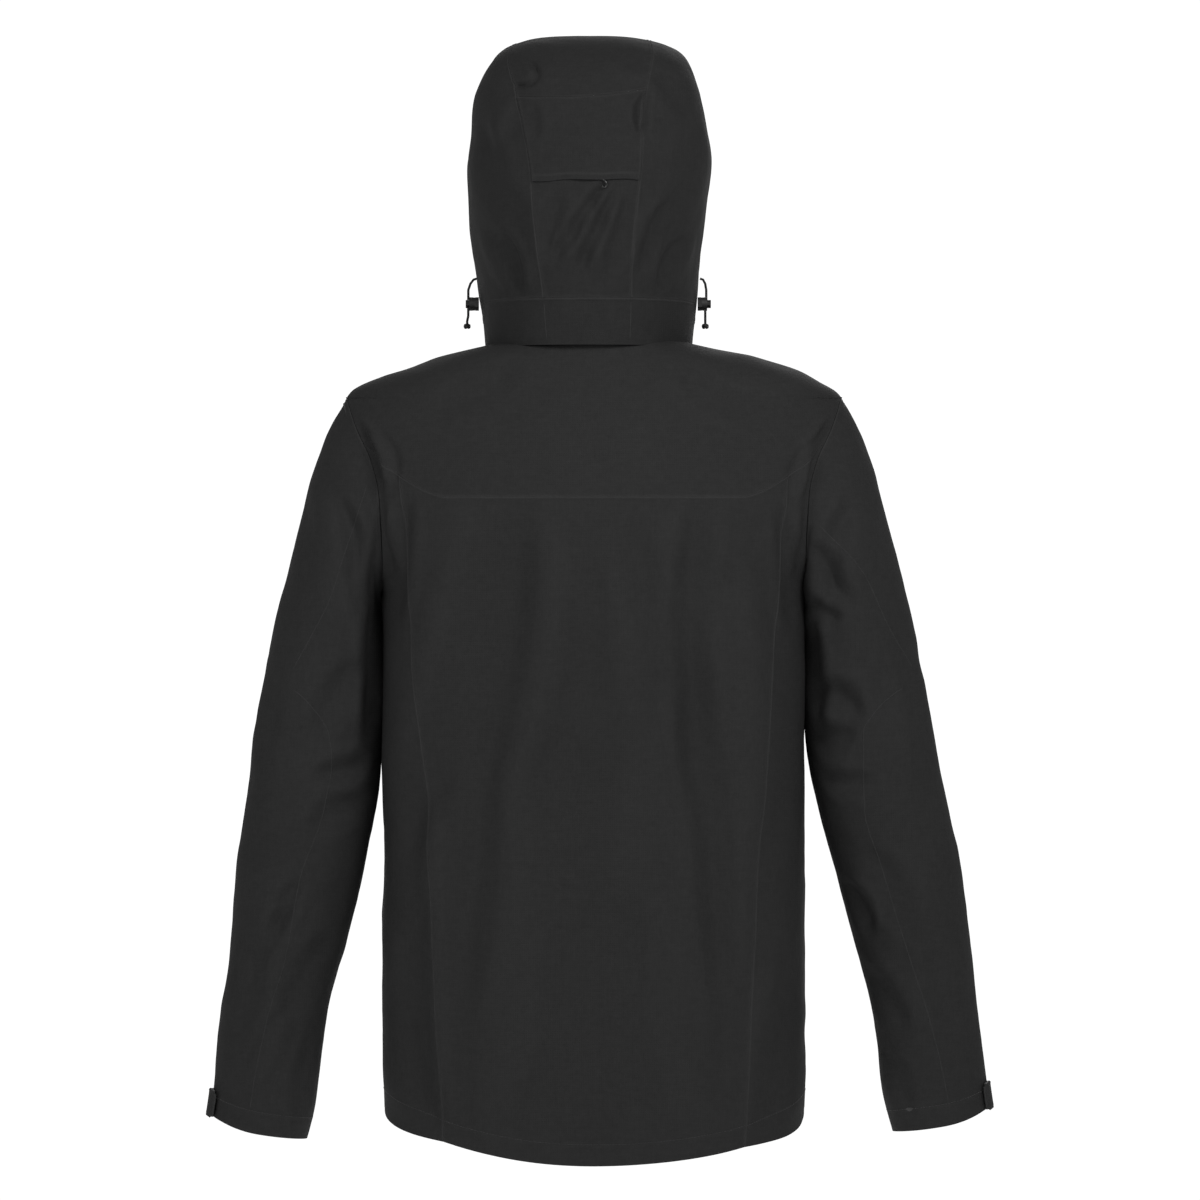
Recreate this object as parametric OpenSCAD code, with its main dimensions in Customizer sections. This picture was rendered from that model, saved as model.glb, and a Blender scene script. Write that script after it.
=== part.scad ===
// Hooded hardshell jacket, built as separate sewn panels, zips, cords and locks.
// Frame: origin in the hanger loop at the centre back neck. +Z up, front faces -Y, wearer's left is +X.
// All sizes in millimetres.

/* [Body] */
// half width of the body at the hem
body_hw = 200; // [180:1:205]
// thickness of the fabric panels
cloth_t = 1.6; // [1.2:0.1:2]
// gap left between two panels that are sewn together
seam_gap = 0.6; // [0.4:0.1:0.8]
// drop of the neck line from side to centre front
neck_drop = 40; // [20:1:50]
// depth of the hem below the side seam, at the centre back
back_tail = 48; // [20:1:60]
// depth of the hem below the side seam, at the centre front
front_tail = 15; // [5:1:25]
// height of the stand-up collar
collar_h = 72; // [60:1:76]

/* [Sleeves] */
// half depth of the armhole, front to back
arm_depth = 70; // [60:1:74]
// height of the cuff hem
cuff_h = 22; // [16:1:28]
// height of the cuff adjuster strap
tab_h = 28; // [22:1:30]

/* [Hood] */
// half width of the hood panel at its cross seam
hood_mid = 62; // [56:1:64]
// height of the band round the hood's base
band_h = 43; // [36:1:48]
// how far the hood sits to the wearer's left of the centre, in mm
hood_lean = 5.5; // [0:0.5:6]

/* [Zips and cords] */
// width of the closed zip chain
chain_w = 6.4; // [5:0.2:7]
// thickness of the zip chain
chain_t = 2.6; // [2:0.1:3]
// length of a hand pocket zip
pocket_len = 180; // [140:5:190]
// diameter of the draw cords
cord_d = 2.6; // [2.2:0.1:2.8]

/* [Part] */
// the sub-part to draw

/* [Hidden] */

shell_col = [0.10, 0.10, 0.11];
trim_col = [0.06, 0.06, 0.07];
metal_col = [0.20, 0.20, 0.21];

// top and bottom of the armhole
arm_top = -50;
arm_low = -235;
arm_mid = (arm_top + arm_low) / 2;
arm_half = (arm_top - arm_low) / 2;
yoke_z = -145;
side_z = -725;

function sm(t) = let (c = max(0, min(1, t))) c * c * (3 - 2 * c);
function mix(a, b, t) = a + (b - a) * t;
function sg(v) = v < 0 ? -1 : 1;
function pw(v, e) = sg(v) * pow(abs(v), e);

// zip line: y of the centre front at height z
function front_y(z) = -207.5 + 0.033 * z;
// y of the centre back at height z
function back_y(z) = lookup(z, [[-790, 50], [-600, 44], [-450, 40], [-300, 46], [-200, 47],
  [-150, 43], [-100, 34], [-50, 20], [-20, 9], [3, 2], [80, -2]]);
function low_k(z) = sm((z + 170) / 170);
function drop_at(y) = neck_drop * sm((-95 - y) / 112);
function round_n(z) = lookup(z, [[-300, 2.6], [-150, 2.4], [-50, 2.0], [3, 2.2]]);
function front_p(z) = front_y(z - neck_drop * low_k(z));
function mid_y(z) = (back_y(z) + front_p(z)) / 2;
function half_d(z) = (back_y(z) - front_p(z)) / 2;
// half depth of the armhole at height z, nil outside it
function arm_open(z) = let (r = (z - arm_mid) / arm_half) abs(r) >= 1 ? 0 : arm_depth * sqrt(1 - r * r);
function arm_x(z) = lookup(z, [[-235, 201], [-204, 200], [-142, 203], [-109, 211], [-81, 224], [-50, 235]]);
function half_w(z) =
  z > arm_top ? lookup(z, [[-50, 236], [-43, 230], [-29, 202], [-22, 182], [-8, 136], [-1, 108], [3, 90]]) :
  z > arm_low ? arm_x(z) / pow(1 - pow(arm_open(z) / half_d(z), round_n(z)), 1 / round_n(z)) :
  body_hw + 1 * sm((z + 400) / 165);

// a point of the body's outside, a = 0 at the centre back, 90 at the left side, 180 at the front
function body_pt(z, a) =
  let (n = round_n(z), y = mid_y(z) + half_d(z) * pw(cos(a), 2 / n))
  [half_w(z) * pw(sin(a), 2 / n), y, z - low_k(z) * drop_at(y)];
// angle of the point whose x is given, behind the side seam
function ang_x(z, x) = asin(pow(min(1, abs(x) / half_w(z)), round_n(z) / 2));
// angle of the side seam or, higher up, of the armhole's edge
function ang_side(z) = acos(pow(max(arm_open(z), 0.5 * seam_gap) / half_d(z), round_n(z) / 2));
// the princess seam, and the seam under the yoke
function seam_x(z) = lookup(z, [[-790, 140], [-675, 145], [-575, 150], [-485, 154], [-400, 161],
  [-280, 170], [-204, 177], [-145, 181], [-120, 183]]);
function yoke_edge(x) = yoke_z + 36 * pow(max(0, abs(x) - 140) / 62, 1.6);
// height of the yoke's seam at angle k of the way to the side seam
function yoke_at(k) =
  let (z1 = yoke_edge(body_pt(-125, k * ang_side(-125))[0]),
    z2 = yoke_edge(body_pt(z1, k * ang_side(z1))[0]))
  yoke_edge(body_pt(z2, k * ang_side(z2))[0]);
// the same, at u of the way from the side seam to the princess seam
function yoke_side(u) =
  let (z1 = yoke_edge(body_pt(-122, mix(ang_side(-122), ang_x(-122, seam_x(-122)), u))[0]),
    z2 = yoke_edge(body_pt(z1, mix(ang_side(z1), ang_x(z1, seam_x(z1)), u))[0]))
  yoke_edge(body_pt(z2, mix(ang_side(z2), ang_x(z2, seam_x(z2)), u))[0]);
function hem_z(x, tail) = side_z - tail * pow(max(0, 1 - pow(min(1, abs(x) / body_hw), 2)), 0.8);

// thin panel between the surface f(u, v) and the same surface moved in by t
module panel(f, nu, nv, t, wrap = false) {
  e = 0.004;
  nc = wrap ? nu : nu + 1;
  function nrm(u, v) = let (
    u0 = wrap ? u - e : max(0, u - e),
    u1 = wrap ? u + e : min(1, u + e),
    v0 = max(0, v - e), v1 = min(1, v + e),
    c = cross(f(u1, v) - f(u0, v), f(u, v1) - f(u, v0)))
    c / max(1e-9, norm(c));
  a = [for (j = [0:nv]) for (i = [0:nc - 1]) f(i / nu, j / nv)];
  b = [for (j = [0:nv]) for (i = [0:nc - 1]) f(i / nu, j / nv) - t * nrm(i / nu, j / nv)];
  m = len(a);
  function id(i, j) = j * nc + (i % nc);
  top = [for (j = [0:nv - 1]) for (i = [0:nu - 1])
    each [[id(i, j), id(i, j + 1), id(i + 1, j + 1)], [id(i, j), id(i + 1, j + 1), id(i + 1, j)]]];
  low = [for (q = top) [m + q[0], m + q[2], m + q[1]]];
  s0 = [for (i = [0:nu - 1]) each [
    [id(i, 0), id(i + 1, 0), m + id(i + 1, 0)], [id(i, 0), m + id(i + 1, 0), m + id(i, 0)],
    [id(i + 1, nv), id(i, nv), m + id(i, nv)], [id(i + 1, nv), m + id(i, nv), m + id(i + 1, nv)]]];
  s1 = wrap ? [] : [for (j = [0:nv - 1]) each [
    [id(0, j + 1), id(0, j), m + id(0, j)], [id(0, j + 1), m + id(0, j), m + id(0, j + 1)],
    [id(nu, j), id(nu, j + 1), m + id(nu, j + 1)], [id(nu, j), m + id(nu, j + 1), m + id(nu, j)]]];
  polyhedron(points = concat(a, b), faces = concat(top, low, s0, s1), convexity = 8);
}

// body panels: u runs from the wearer's right to the left seen from behind, so the outside faces out
module back_panel() {
  color(shell_col)
  panel(function (u, v) let (
    c = 1 - 2 * u,
    x0 = c * (seam_x(-500) - 8),
    z = mix(hem_z(x0, back_tail), yoke_edge(c * 181) - 1.7 * seam_gap, v),
    x = c * (seam_x(z) - seam_gap / 2))
    body_pt(z, sg(c) * ang_x(z, x)), 16, 18, cloth_t);
}

module back_yoke() {
  color(shell_col)
  panel(function (u, v) let (
    c = 1 - 2 * u,
    z0 = yoke_at(abs(c)) + seam_gap / 2,
    z = mix(z0, 2.8, pow(v, 0.85)))
    body_pt(z, c * ang_side(z)), 28, 10, cloth_t);
}

module side_panel_left() {
  color(shell_col)
  panel(function (u, v) let (
    top = yoke_side(u) - seam_gap / 2,
    z = mix(hem_z(mix(200, 143, u), back_tail), top, v),
    lo = ang_x(z, seam_x(z) + seam_gap / 2))
    body_pt(z, mix(ang_side(z), lo, u)), 5, 22, cloth_t);
}

module front_panel_left() {
  color(shell_col)
  panel(function (u, v) let (
    top = yoke_z - seam_gap / 2,
    x0 = mix(0, 200, sin(90 * u)),
    z = mix(hem_z(x0, front_tail), top, v),
    a0 = 180 - ang_x(z, 7.5), a1 = 180 - ang_side(z))
    body_pt(z, mix(a0, a1, u)), 12, 18, cloth_t);
}

module chest_panel_left() {
  color(shell_col)
  panel(function (u, v) let (
    z = mix(yoke_z + seam_gap / 2, 2.8, pow(v, 0.85)),
    a0 = 180 - ang_x(z, 7.5), a1 = 180 - ang_side(z))
    body_pt(z, mix(a0, a1, u)), 14, 10, cloth_t);
}

// a strip that runs inside the hem, all the way round
module hem_facing() {
  color(trim_col)
  panel(function (u, v) let (
    a = 172 - 344 * u,
    p = body_pt(-700, a),
    z = hem_z(p[0], abs(a) < 90 ? back_tail : front_tail) + 1 + 19 * v,
    q = body_pt(z, a), s = sg(a))
    [q[0] * (1 - 6.5 / body_hw), mid_y(z) + (q[1] - mid_y(z)) * (1 - 6.5 / half_d(z)), z], 44, 2, 1);
}

// closed ring swept along the given centre points
module cord(pts, d, n = 8) {
  k = len(pts);
  dir = [for (i = [0:k - 1]) let (q = pts[min(k - 1, i + 1)] - pts[max(0, i - 1)]) q / norm(q)];
  ref = abs(dir[0][2]) > 0.8 ? [1, 0, 0] : [0, 0, 1];
  function side(i) = i == 0 ? unitv(cross(dir[0], ref)) : let (p = side(i - 1)) unitv(p - dir[i] * (p * dir[i]));
  function unitv(v) = v / norm(v);
  ring = [for (i = [0:k - 1]) let (s = side(i), t = cross(dir[i], s))
    for (j = [0:n - 1]) pts[i] + d / 2 * (cos(360 * j / n) * s + sin(360 * j / n) * t)];
  sides = [for (i = [0:k - 2]) for (j = [0:n - 1]) let (a = i * n + j, b = i * n + (j + 1) % n)
    each [[a, a + n, b + n], [a, b + n, b]]];
  caps = [[for (j = [0:n - 1]) j], [for (j = [n - 1:-1:0]) (k - 1) * n + j]];
  polyhedron(points = ring, faces = concat(sides, caps), convexity = 10);
}

module hem_drawcord() {
  color(trim_col)
  cord([for (i = [0:56]) let (
    a = 168 - 336 * i / 56,
    p = body_pt(-700, a),
    z = hem_z(p[0], abs(a) < 90 ? back_tail : front_tail) + 11,
    q = body_pt(z, a))
    [q[0] * (1 - 4 / body_hw), mid_y(z) + (q[1] - mid_y(z)) * (1 - 4 / half_d(z)), z]], cord_d, 8);
}

// collar: a ring that is open at the zip
function collar_pt(h, a, off) =
  let (n = 2.2, z = 3.4 + h,
    bk = 2 - off - 4 * h / 75, fr = front_y(z - neck_drop) + off,
    y = (bk + fr) / 2 + (bk - fr) / 2 * pw(cos(a), 2 / n))
  [(88 - off - 3 * h / 75) * pw(sin(a), 2 / n), y, z - drop_at(y) * (1 - 0.12 * h / 75)];
function collar_ang(x) = 180 - asin(pow(x / 88, 1.1));

module collar() {
  color(shell_col)
  panel(function (u, v) collar_pt(collar_h * v, collar_ang(7.5) * (1 - 2 * u), 0), 44, 4, cloth_t);
}

module collar_lining() {
  color(trim_col)
  panel(function (u, v) collar_pt(4 + (collar_h - 8) * v, collar_ang(22) * (1 - 2 * u), 2.6), 40, 3, 1.2);
}

module neck_tape() {
  color(trim_col)
  panel(function (u, v) collar_pt(-6 + 9 * v, 150 * (1 - 2 * u), 3), 28, 1, 0.8);
}

// strap arched away from the neck so that a hook passes behind it
module hanger_loop() {
  color(trim_col)
  panel(function (u, v) let (s = 1 - 2 * u)
    [26 * s, -2.2 - 4.8 * s * s - 8.5 * pow(cos(90 * s), 0.7), -9 + 7 * v], 16, 1, 1.2);
}

module chin_guard() {
  color(trim_col)
  panel(function (u, v) let (z = 14 + 28 * v, s = 1 - 2 * u)
    [17 * s, front_y(z) + 7.2 + 1.2 * s * s, z + 3 * cos(90 * s)], 8, 3, 1.4);
}

// main zip, straight from the hem to the collar's top
zip_top = 40;
zip_low = -728;
zip_tilt = atan(0.033);
zip_len = (zip_top - zip_low) / cos(zip_tilt);
module along_zip(z) {
  translate([0, front_y(z), z]) rotate([-zip_tilt, 0, 0]) children();
}

module zip_tape_left() {
  color(trim_col)
  along_zip(zip_low) translate([1.2 + chain_w / 2, 3.2, 0]) cube([13, 0.8, zip_len]);
}

module zip_chain_left() {
  color(metal_col)
  along_zip(zip_low) translate([0.7, 1.2, 4]) cube([chain_w / 2 - 0.2, chain_t, zip_len - 8]);
}

module zip_bottom_box() {
  color(metal_col)
  along_zip(zip_low - 6) translate([-4.5, 0.6, 0]) cube([9, 3.8, 5.4]);
}

module zip_top_stops() {
  color(metal_col)
  for (s = [-1, 1])
    along_zip(zip_top - 3.4) translate([s * 2.4 - 1.4, 1.2, 0]) cube([2.8, chain_t, 3.2]);
}

module storm_flap() {
  color(trim_col)
  along_zip(zip_low + 4) translate([-4, 5.4, 0]) cube([23, 1.1, zip_len - 60]);
}

// front plate of a slider with the bridge that holds its pull
module slider_top(len, wid) {
  translate([-wid / 2, -0.9, 0]) cube([wid, 1.5, len]);
  difference() {
    translate([-1.7, -4.4, 3.6]) cube([3.4, 3.7, 6.5]);
    translate([-3, -2.9, 5.2]) cube([6, 2, 3.3]);
  }
}

// slider: two plates joined by a thin post that runs in the gap of the chain
module slider(len, wid) {
  slider_top(len, wid);
  translate([-0.35, 0.5, 3]) cube([0.7, chain_t + 1.3, 6.5]);
  translate([-wid / 2 + 1, chain_t + 1.55, 0]) cube([wid - 2, 0.7, len]);
}

// pull: a tab with an eye whose bar sits in the slider's bridge
module pull(len, wid) {
  difference() {
    translate([-wid / 2, -2.45, 7.3 - len]) cube([wid, 1.1, len]);
    translate([-2.2, -4, 2.2]) cube([4.4, 5, 3.9]);
    translate([0, -4, 10 - len]) rotate([-90, 0, 0]) cylinder(h = 4, r = 1.2, $fn = 24);
  }
}

module main_slider() {
  color(metal_col)
  along_zip(zip_top - 20) translate([0, -0.05, 0]) slider(13, 9);
}

module main_pull() {
  color(metal_col)
  along_zip(zip_top - 20) translate([0, -0.05, 0]) pull(26, 8);
}

// hand pockets: a straight zip on the front panel, with a bag behind
pocket_x = 118;
pocket_top = -450;
function pocket_a(z) = 180 - ang_x(z, pocket_x);
pk0 = body_pt(pocket_top, pocket_a(pocket_top));
pk1 = body_pt(pocket_top - pocket_len, pocket_a(pocket_top - pocket_len));
pk_d = body_pt(-540, pocket_a(-540) + 2) - body_pt(-540, pocket_a(-540) - 2);
pk_yaw = atan2(pk_d[1], pk_d[0]);
pk_tilt = atan2(pk0[1] - pk1[1], pocket_len);
module at_pocket(d) {
  translate([pk0[0], mix(pk0[1], pk1[1], d / pocket_len), pocket_top - d])
    rotate([-pk_tilt, 0, 0]) rotate([0, 0, pk_yaw + 180]) children();
}

module pocket_zip_left() {
  color(trim_col)
  at_pocket(pocket_len) difference() {
    union() {
      translate([-9, -1.5, 0]) cube([18, 0.9, pocket_len - 6]);
      translate([-2.6, -2.6, 3]) cube([5.2, 1.2, pocket_len - 16]);
    }
    translate([-0.5, -4, 3]) cube([1, 2.2, pocket_len - 16]);
  }
}

module pocket_slider_left() {
  color(metal_col)
  at_pocket(20) translate([0, -3.5, 0]) {
    slider_top(12, 6.8);
    translate([-0.3, 0.5, 3]) cube([0.6, 1, 6]);
  }
}

module pocket_pull_left() {
  color(trim_col)
  at_pocket(20) translate([0, -3.5, 0]) pull(24, 6.4);
}

module pocket_bag_left() {
  color(trim_col)
  panel(function (u, v) let (
    z = mix(-690, -440, v),
    a = 180 - ang_x(z, mix(30, 165, u)),
    q = body_pt(z, a),
    e = 1 - pow(abs(2 * u - 1), 6),
    g = 1 - pow(abs(2 * v - 1), 8),
    w = 3 + 13 * e * g)
    [q[0] * (1 - w / 400), mid_y(z) + (q[1] - mid_y(z)) * (1 - w / half_d(z)), z], 12, 12, 0.9);
}

// sleeves: rings between an outer and an inner line, the first ring sits on the armhole
out_x = [[0, 236], [1, 248], [2, 262], [3, 276], [4, 289], [5, 302], [6, 312], [7, 319], [8, 327],
  [9, 334], [10, 341], [11, 348], [12, 355], [13, 363], [14, 368]];
out_z = [[0, -50], [1, -76], [2, -120], [3, -165], [4, -212], [5, -265], [6, -318], [7, -366], [8, -423],
  [9, -480], [10, -546], [11, -603], [12, -641], [13, -698], [14, -725]];
in_x = [[0, 202], [1, 202.5], [2, 203], [3, 203.4], [4, 203.7], [5, 204], [6, 204.2], [7, 205.5], [8, 210],
  [9, 220], [10, 238], [11, 253], [12, 258], [13, 266], [14, 274]];
in_z = [[0, -235], [1, -262], [2, -285], [3, -303], [4, -318], [5, -331], [6, -343], [7, -388], [8, -445],
  [9, -502], [10, -566], [11, -620], [12, -658], [13, -714], [14, -741]];
arm_d = [[0, arm_depth], [1, 71], [2, 70], [3, 68], [4, 66], [5, 63], [6, 60], [7, 59], [8, 58],
  [9, 56], [10, 53], [11, 50], [12, 49], [13, 47], [14, 46]];
arm_cy = [[0, -88], [4, -90], [6, -92], [8, -95], [10, -103], [12, -112], [14, -120]];

function plain_ring(s, q, off) =
  let (ox = lookup(s, out_x), oz = lookup(s, out_z), ix = lookup(s, in_x), iz = lookup(s, in_z),
    l = norm([ox - ix, oz - iz]), k = 1 - 2 * off / l, d = lookup(s, arm_d) - off)
  [(ox + ix) / 2 + k * (ox - ix) / 2 * cos(q), lookup(s, arm_cy) + d * sin(q),
   (oz + iz) / 2 + k * (oz - iz) / 2 * cos(q) - 10 * sm((s - 12) / 2) * pow(sin(q), 2)];
function arm_edge(q) = let (z = arm_mid + arm_half * cos(q), y = mid_y(z) + arm_depth * sin(q))
  [arm_x(z) + 1.4 + 1.6 * pow(max(0, cos(q)), 4), y, z - low_k(z) * drop_at(y)];
function sleeve_pt(s, q, off) =
  plain_ring(s, q, off) + pow(max(0, 1 - s / 3), 2) * (arm_edge(q) - plain_ring(0, q, 0));

module tube(s0, s1, nv, t, off = 0, nq = 24) {
  panel(function (u, v) sleeve_pt(mix(s1, s0, v), 360 * u, off), nq, nv, t, true);
}

module sleeve_head_left() {
  color(shell_col)
  intersection() {
    tube(0, 2.9, 8, cloth_t);
    translate([0, -400, -500]) cube([600, 700, 600]);
  }
}

module upper_sleeve_left() {
  color(shell_col) tube(2.93, 6.2, 8, cloth_t);
}

module elbow_left() {
  color(shell_col) tube(6.23, 8.5, 5, cloth_t);
}

module forearm_left() {
  color(shell_col) tube(8.53, 14, 12, cloth_t);
}

module cuff_facing_left() {
  color(trim_col) tube(13.25, 13.95, 2, 1, 2.4);
}

// cuff strap: anchored in front, wraps the outside of the wrist
tab_s0 = 12.95;
function strap_pt(q, h, off) = sleeve_pt(tab_s0 + 0.95 * h, q, -off);

module cuff_patch_left() {
  color(trim_col)
  panel(function (u, v) strap_pt(mix(-35, 22, u), 0.85 - 0.7 * v, 1.6), 10, 2, 0.8);
}

module cuff_tab_left() {
  color(trim_col)
  panel(function (u, v) let (r = 0.5 - v, e = 1 - 0.16 * pow(max(0, u - 0.8) / 0.2, 2))
    strap_pt(mix(-62, 30, u), 0.5 + r * e, 4.4 + 0.6 * sin(180 * u)), 14, 3, 2);
}

// hood: arches from the spine C to the face edge E
hc_y = [[0, 9], [0.12, 17], [0.25, 27], [0.38, 32], [0.5, 29], [0.6, 18], [0.66, 8], [0.72, -8],
  [0.78, -32], [0.84, -62], [0.9, -100], [0.95, -150], [1, -205]];
hc_z = [[0, 0], [0.12, 43], [0.25, 90], [0.38, 138], [0.5, 186], [0.6, 226], [0.66, 248], [0.72, 267],
  [0.78, 282], [0.84, 291], [0.9, 295], [0.95, 291], [1, 277]];
he_y = [[0, -150], [0.12, -158], [0.25, -168], [0.38, -176], [0.5, -182], [0.6, -186], [0.66, -188],
  [0.72, -190], [0.78, -192], [0.84, -194], [0.9, -197], [0.95, -201], [1, -207]];
he_z = [[0, 0], [0.12, 41], [0.25, 80], [0.38, 125], [0.5, 165], [0.6, 192], [0.66, 205], [0.72, 216],
  [0.78, 226], [0.84, 234], [0.9, 241], [0.95, 247], [1, 252]];
hood_w = [[-16, 98], [0, 98], [18, 99], [43, 102], [71, 106], [109, 111], [138, 114], [171, 117],
  [206, 112], [231, 106], [259, 94], [270, 86], [283, 73]];
hood_n = 2.4;
// height of the hood's lower edge over the neck seam
hood_lift = 3.6;
function hc(q) = pw(cos(q), 2 / hood_n);
function hood_end(t) = 93 + 19 * sm((t - 0.15) / 0.4);
function hood_half(t) = lookup(mix(lookup(t, hc_z), lookup(t, he_z), 0.68), hood_w);
function hood_pt(t, q) =
  let (f = (1 - hc(q)) / (1 - hc(hood_end(t))), y = mix(lookup(t, hc_y), lookup(t, he_y), f),
    z = mix(lookup(t, hc_z), lookup(t, he_z), f))
  [hood_half(t) * pw(sin(q), 2 / hood_n) + hood_lean * sm((z - 4) / 34), y,
   z + hood_lift * (1 - sm(t / 0.2)) - drop_at(y) * (1 - sm(t / 0.3))];
function hood_ang(t, x) = asin(pow(x / hood_half(t), hood_n / 2));
function spine_t(z) = lookup(z, [for (i = [0:9]) [hc_z[i][1], hc_z[i][0]]]);
function hood_seam(t) = lookup(t, [[0, 39], [0.18, 43], [0.41, 50], [0.6, hood_mid], [0.7, hood_mid], [0.9, 58], [1, 60]]);
t_band = 0.12 * band_h / 43;
t_cross = 0.635;
t_brim = 0.93;

// outside of the hood, moved in by off
function hood_in(t, q, off) =
  let (e = 0.004, c = cross(hood_pt(t, q + 1) - hood_pt(t, q - 1), hood_pt(min(1, t + e), q) - hood_pt(max(0, t - e), q)))
  hood_pt(t, q) + off * c / norm(c);

module hood_band() {
  color(shell_col)
  panel(function (u, v) let (t = mix(0, t_band - 0.0009, v))
    hood_pt(t, hood_end(t) * (1 - 2 * u)), 36, 3, cloth_t);
}

module hood_centre() {
  color(shell_col)
  panel(function (u, v) let (t = mix(t_band + 0.0009, t_cross - 0.001, v))
    hood_pt(t, hood_ang(t, hood_seam(t) - seam_gap / 2) * (1 - 2 * u)), 10, 14, cloth_t);
}

module hood_crown() {
  color(shell_col)
  panel(function (u, v) let (t = mix(t_cross + 0.001, t_brim - 0.001, v))
    hood_pt(t, (hood_ang(t, hood_seam(t) - seam_gap / 2)) * (1 - 2 * u)), 10, 10, cloth_t);
}

module hood_brim() {
  color(shell_col)
  panel(function (u, v) let (t = mix(t_brim + 0.001, 1, v))
    hood_pt(t, (hood_ang(t, hood_seam(t) - seam_gap / 2)) * (1 - 2 * u)), 12, 3, 3);
}

// s is 1 for the wearer's left side, -1 for the right
module hood_side(s) {
  color(shell_col)
  panel(function (u, v) let (t = mix(t_band + 0.0009, 1, v), a = hood_ang(t, hood_seam(t) + seam_gap / 2))
    hood_pt(t, s * mix(hood_end(t), a, s > 0 ? u : 1 - u)), 10, 24, cloth_t);
}

module hood_side_left() { hood_side(1); }

module hood_side_right() { hood_side(-1); }

// a tunnel along the face edge, inside, from one side over the brim to the other
module hood_face_tunnel() {
  color(trim_col)
  for (s = [-1, 1])
    panel(function (u, v) let (t = mix(0.16, 0.985, v), w = s > 0 ? u : 1 - u, q = hood_end(t) - mix(0.6, 7, w))
      hood_in(t, s * q, 3.4), 2, 20, 1);
}

// the flap over the rear adjuster hangs from the cross seam
function flap_z(v) = mix(153, 236, v);
module hood_flap() {
  color(shell_col)
  panel(function (u, v) let (t = spine_t(flap_z(v)), q = (1 - 2 * u) * hood_ang(t, 49 + 8 * v))
    hood_in(t, q, -2.4 - 2.2 * (1 - v)), 10, 6, cloth_t);
}

// cord locks on the hood's sides: a body with a cord channel and a button
lock_p = [104.6, -128, 41];
module at_lock() {
  translate(lock_p + [hood_lean, 0, 0]) rotate([0, 90, 0]) rotate([0, 0, 90]) children();
}

module cord_lock_left() {
  color(trim_col)
  at_lock() difference() {
    union() {
      translate([0, 0, 0]) cylinder(h = 9, r = 6.5, $fn = 48);
      translate([-6.5, -3, 0]) cube([13, 6, 4]);
    }
    translate([0, 0, 2]) cylinder(h = 9, r = 4.1, $fn = 48);
    translate([0, 12, 4.4]) rotate([90, 0, 0]) cylinder(h = 24, r = 1.9, $fn = 32);
  }
}

module lock_button_left() {
  color(metal_col)
  at_lock() difference() {
    translate([0, 0, 3.4 + 1.6]) cylinder(h = 7.6, r = 4.02, $fn = 48);
    translate([-1.9, -6, 1]) cube([3.8, 12, 5.6]);
  }
}

// free ends of the face cord: they leave the hood above the lock, hang, and end in a knot
left_run = [[107, -150, 66], [110, -150, 65], [113, -149, 61], [115, -148, 55], [115, -147, 50],
  [115, -146, 45], [115, -145, 40], [115, -144, 35], [115, -143, 30], [116, -142, 25], [116, -141, 20]];
right_run = [[-107, -150, 66], [-110, -150, 65], [-112, -149, 61], [-113, -148, 55], [-113, -147, 50],
  [-113, -146, 45], [-112, -145, 40], [-112, -144, 35], [-112, -143, 30], [-112, -142, 25], [-112, -141, 20]];

module hood_cord_left() {
  color(trim_col) translate([hood_lean, 0, 0]) cord(left_run, cord_d);
}

module hood_cord_right() {
  color(trim_col) translate([hood_lean, 0, 0]) cord(right_run, cord_d);
}

module side_panel_right() { mirror([1, 0, 0]) side_panel_left(); }
module front_panel_right() { mirror([1, 0, 0]) front_panel_left(); }
module chest_panel_right() { mirror([1, 0, 0]) chest_panel_left(); }
module zip_tape_right() { mirror([1, 0, 0]) zip_tape_left(); }
module zip_chain_right() { mirror([1, 0, 0]) zip_chain_left(); }
module pocket_zip_right() { mirror([1, 0, 0]) pocket_zip_left(); }
module pocket_slider_right() { mirror([1, 0, 0]) pocket_slider_left(); }
module pocket_pull_right() { mirror([1, 0, 0]) pocket_pull_left(); }
module pocket_bag_right() { mirror([1, 0, 0]) pocket_bag_left(); }
module sleeve_head_right() { mirror([1, 0, 0]) sleeve_head_left(); }
module upper_sleeve_right() { mirror([1, 0, 0]) upper_sleeve_left(); }
module elbow_right() { mirror([1, 0, 0]) elbow_left(); }
module forearm_right() { mirror([1, 0, 0]) forearm_left(); }
module cuff_facing_right() { mirror([1, 0, 0]) cuff_facing_left(); }
module cuff_patch_right() { mirror([1, 0, 0]) cuff_patch_left(); }
module cuff_tab_right() { mirror([1, 0, 0]) cuff_tab_left(); }
module cord_lock_right() { translate([2 * hood_lean, 0, 0]) mirror([1, 0, 0]) cord_lock_left(); }
module lock_button_right() { translate([2 * hood_lean, 0, 0]) mirror([1, 0, 0]) lock_button_left(); }

back_panel();
back_yoke();
side_panel_left();
side_panel_right();
front_panel_left();
front_panel_right();
chest_panel_left();
chest_panel_right();
hem_facing();
hem_drawcord();
collar();
collar_lining();
neck_tape();
hanger_loop();
chin_guard();
zip_tape_left();
zip_tape_right();
zip_chain_left();
zip_chain_right();
zip_bottom_box();
zip_top_stops();
storm_flap();
main_slider();
main_pull();
pocket_zip_left();
pocket_zip_right();
pocket_slider_left();
pocket_slider_right();
pocket_pull_left();
pocket_pull_right();
pocket_bag_left();
pocket_bag_right();
sleeve_head_left();
sleeve_head_right();
upper_sleeve_left();
upper_sleeve_right();
elbow_left();
elbow_right();
forearm_left();
forearm_right();
cuff_facing_left();
cuff_facing_right();
cuff_patch_left();
cuff_patch_right();
cuff_tab_left();
cuff_tab_right();
hood_centre();
hood_side_left();
hood_side_right();
hood_crown();
hood_brim();
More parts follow.
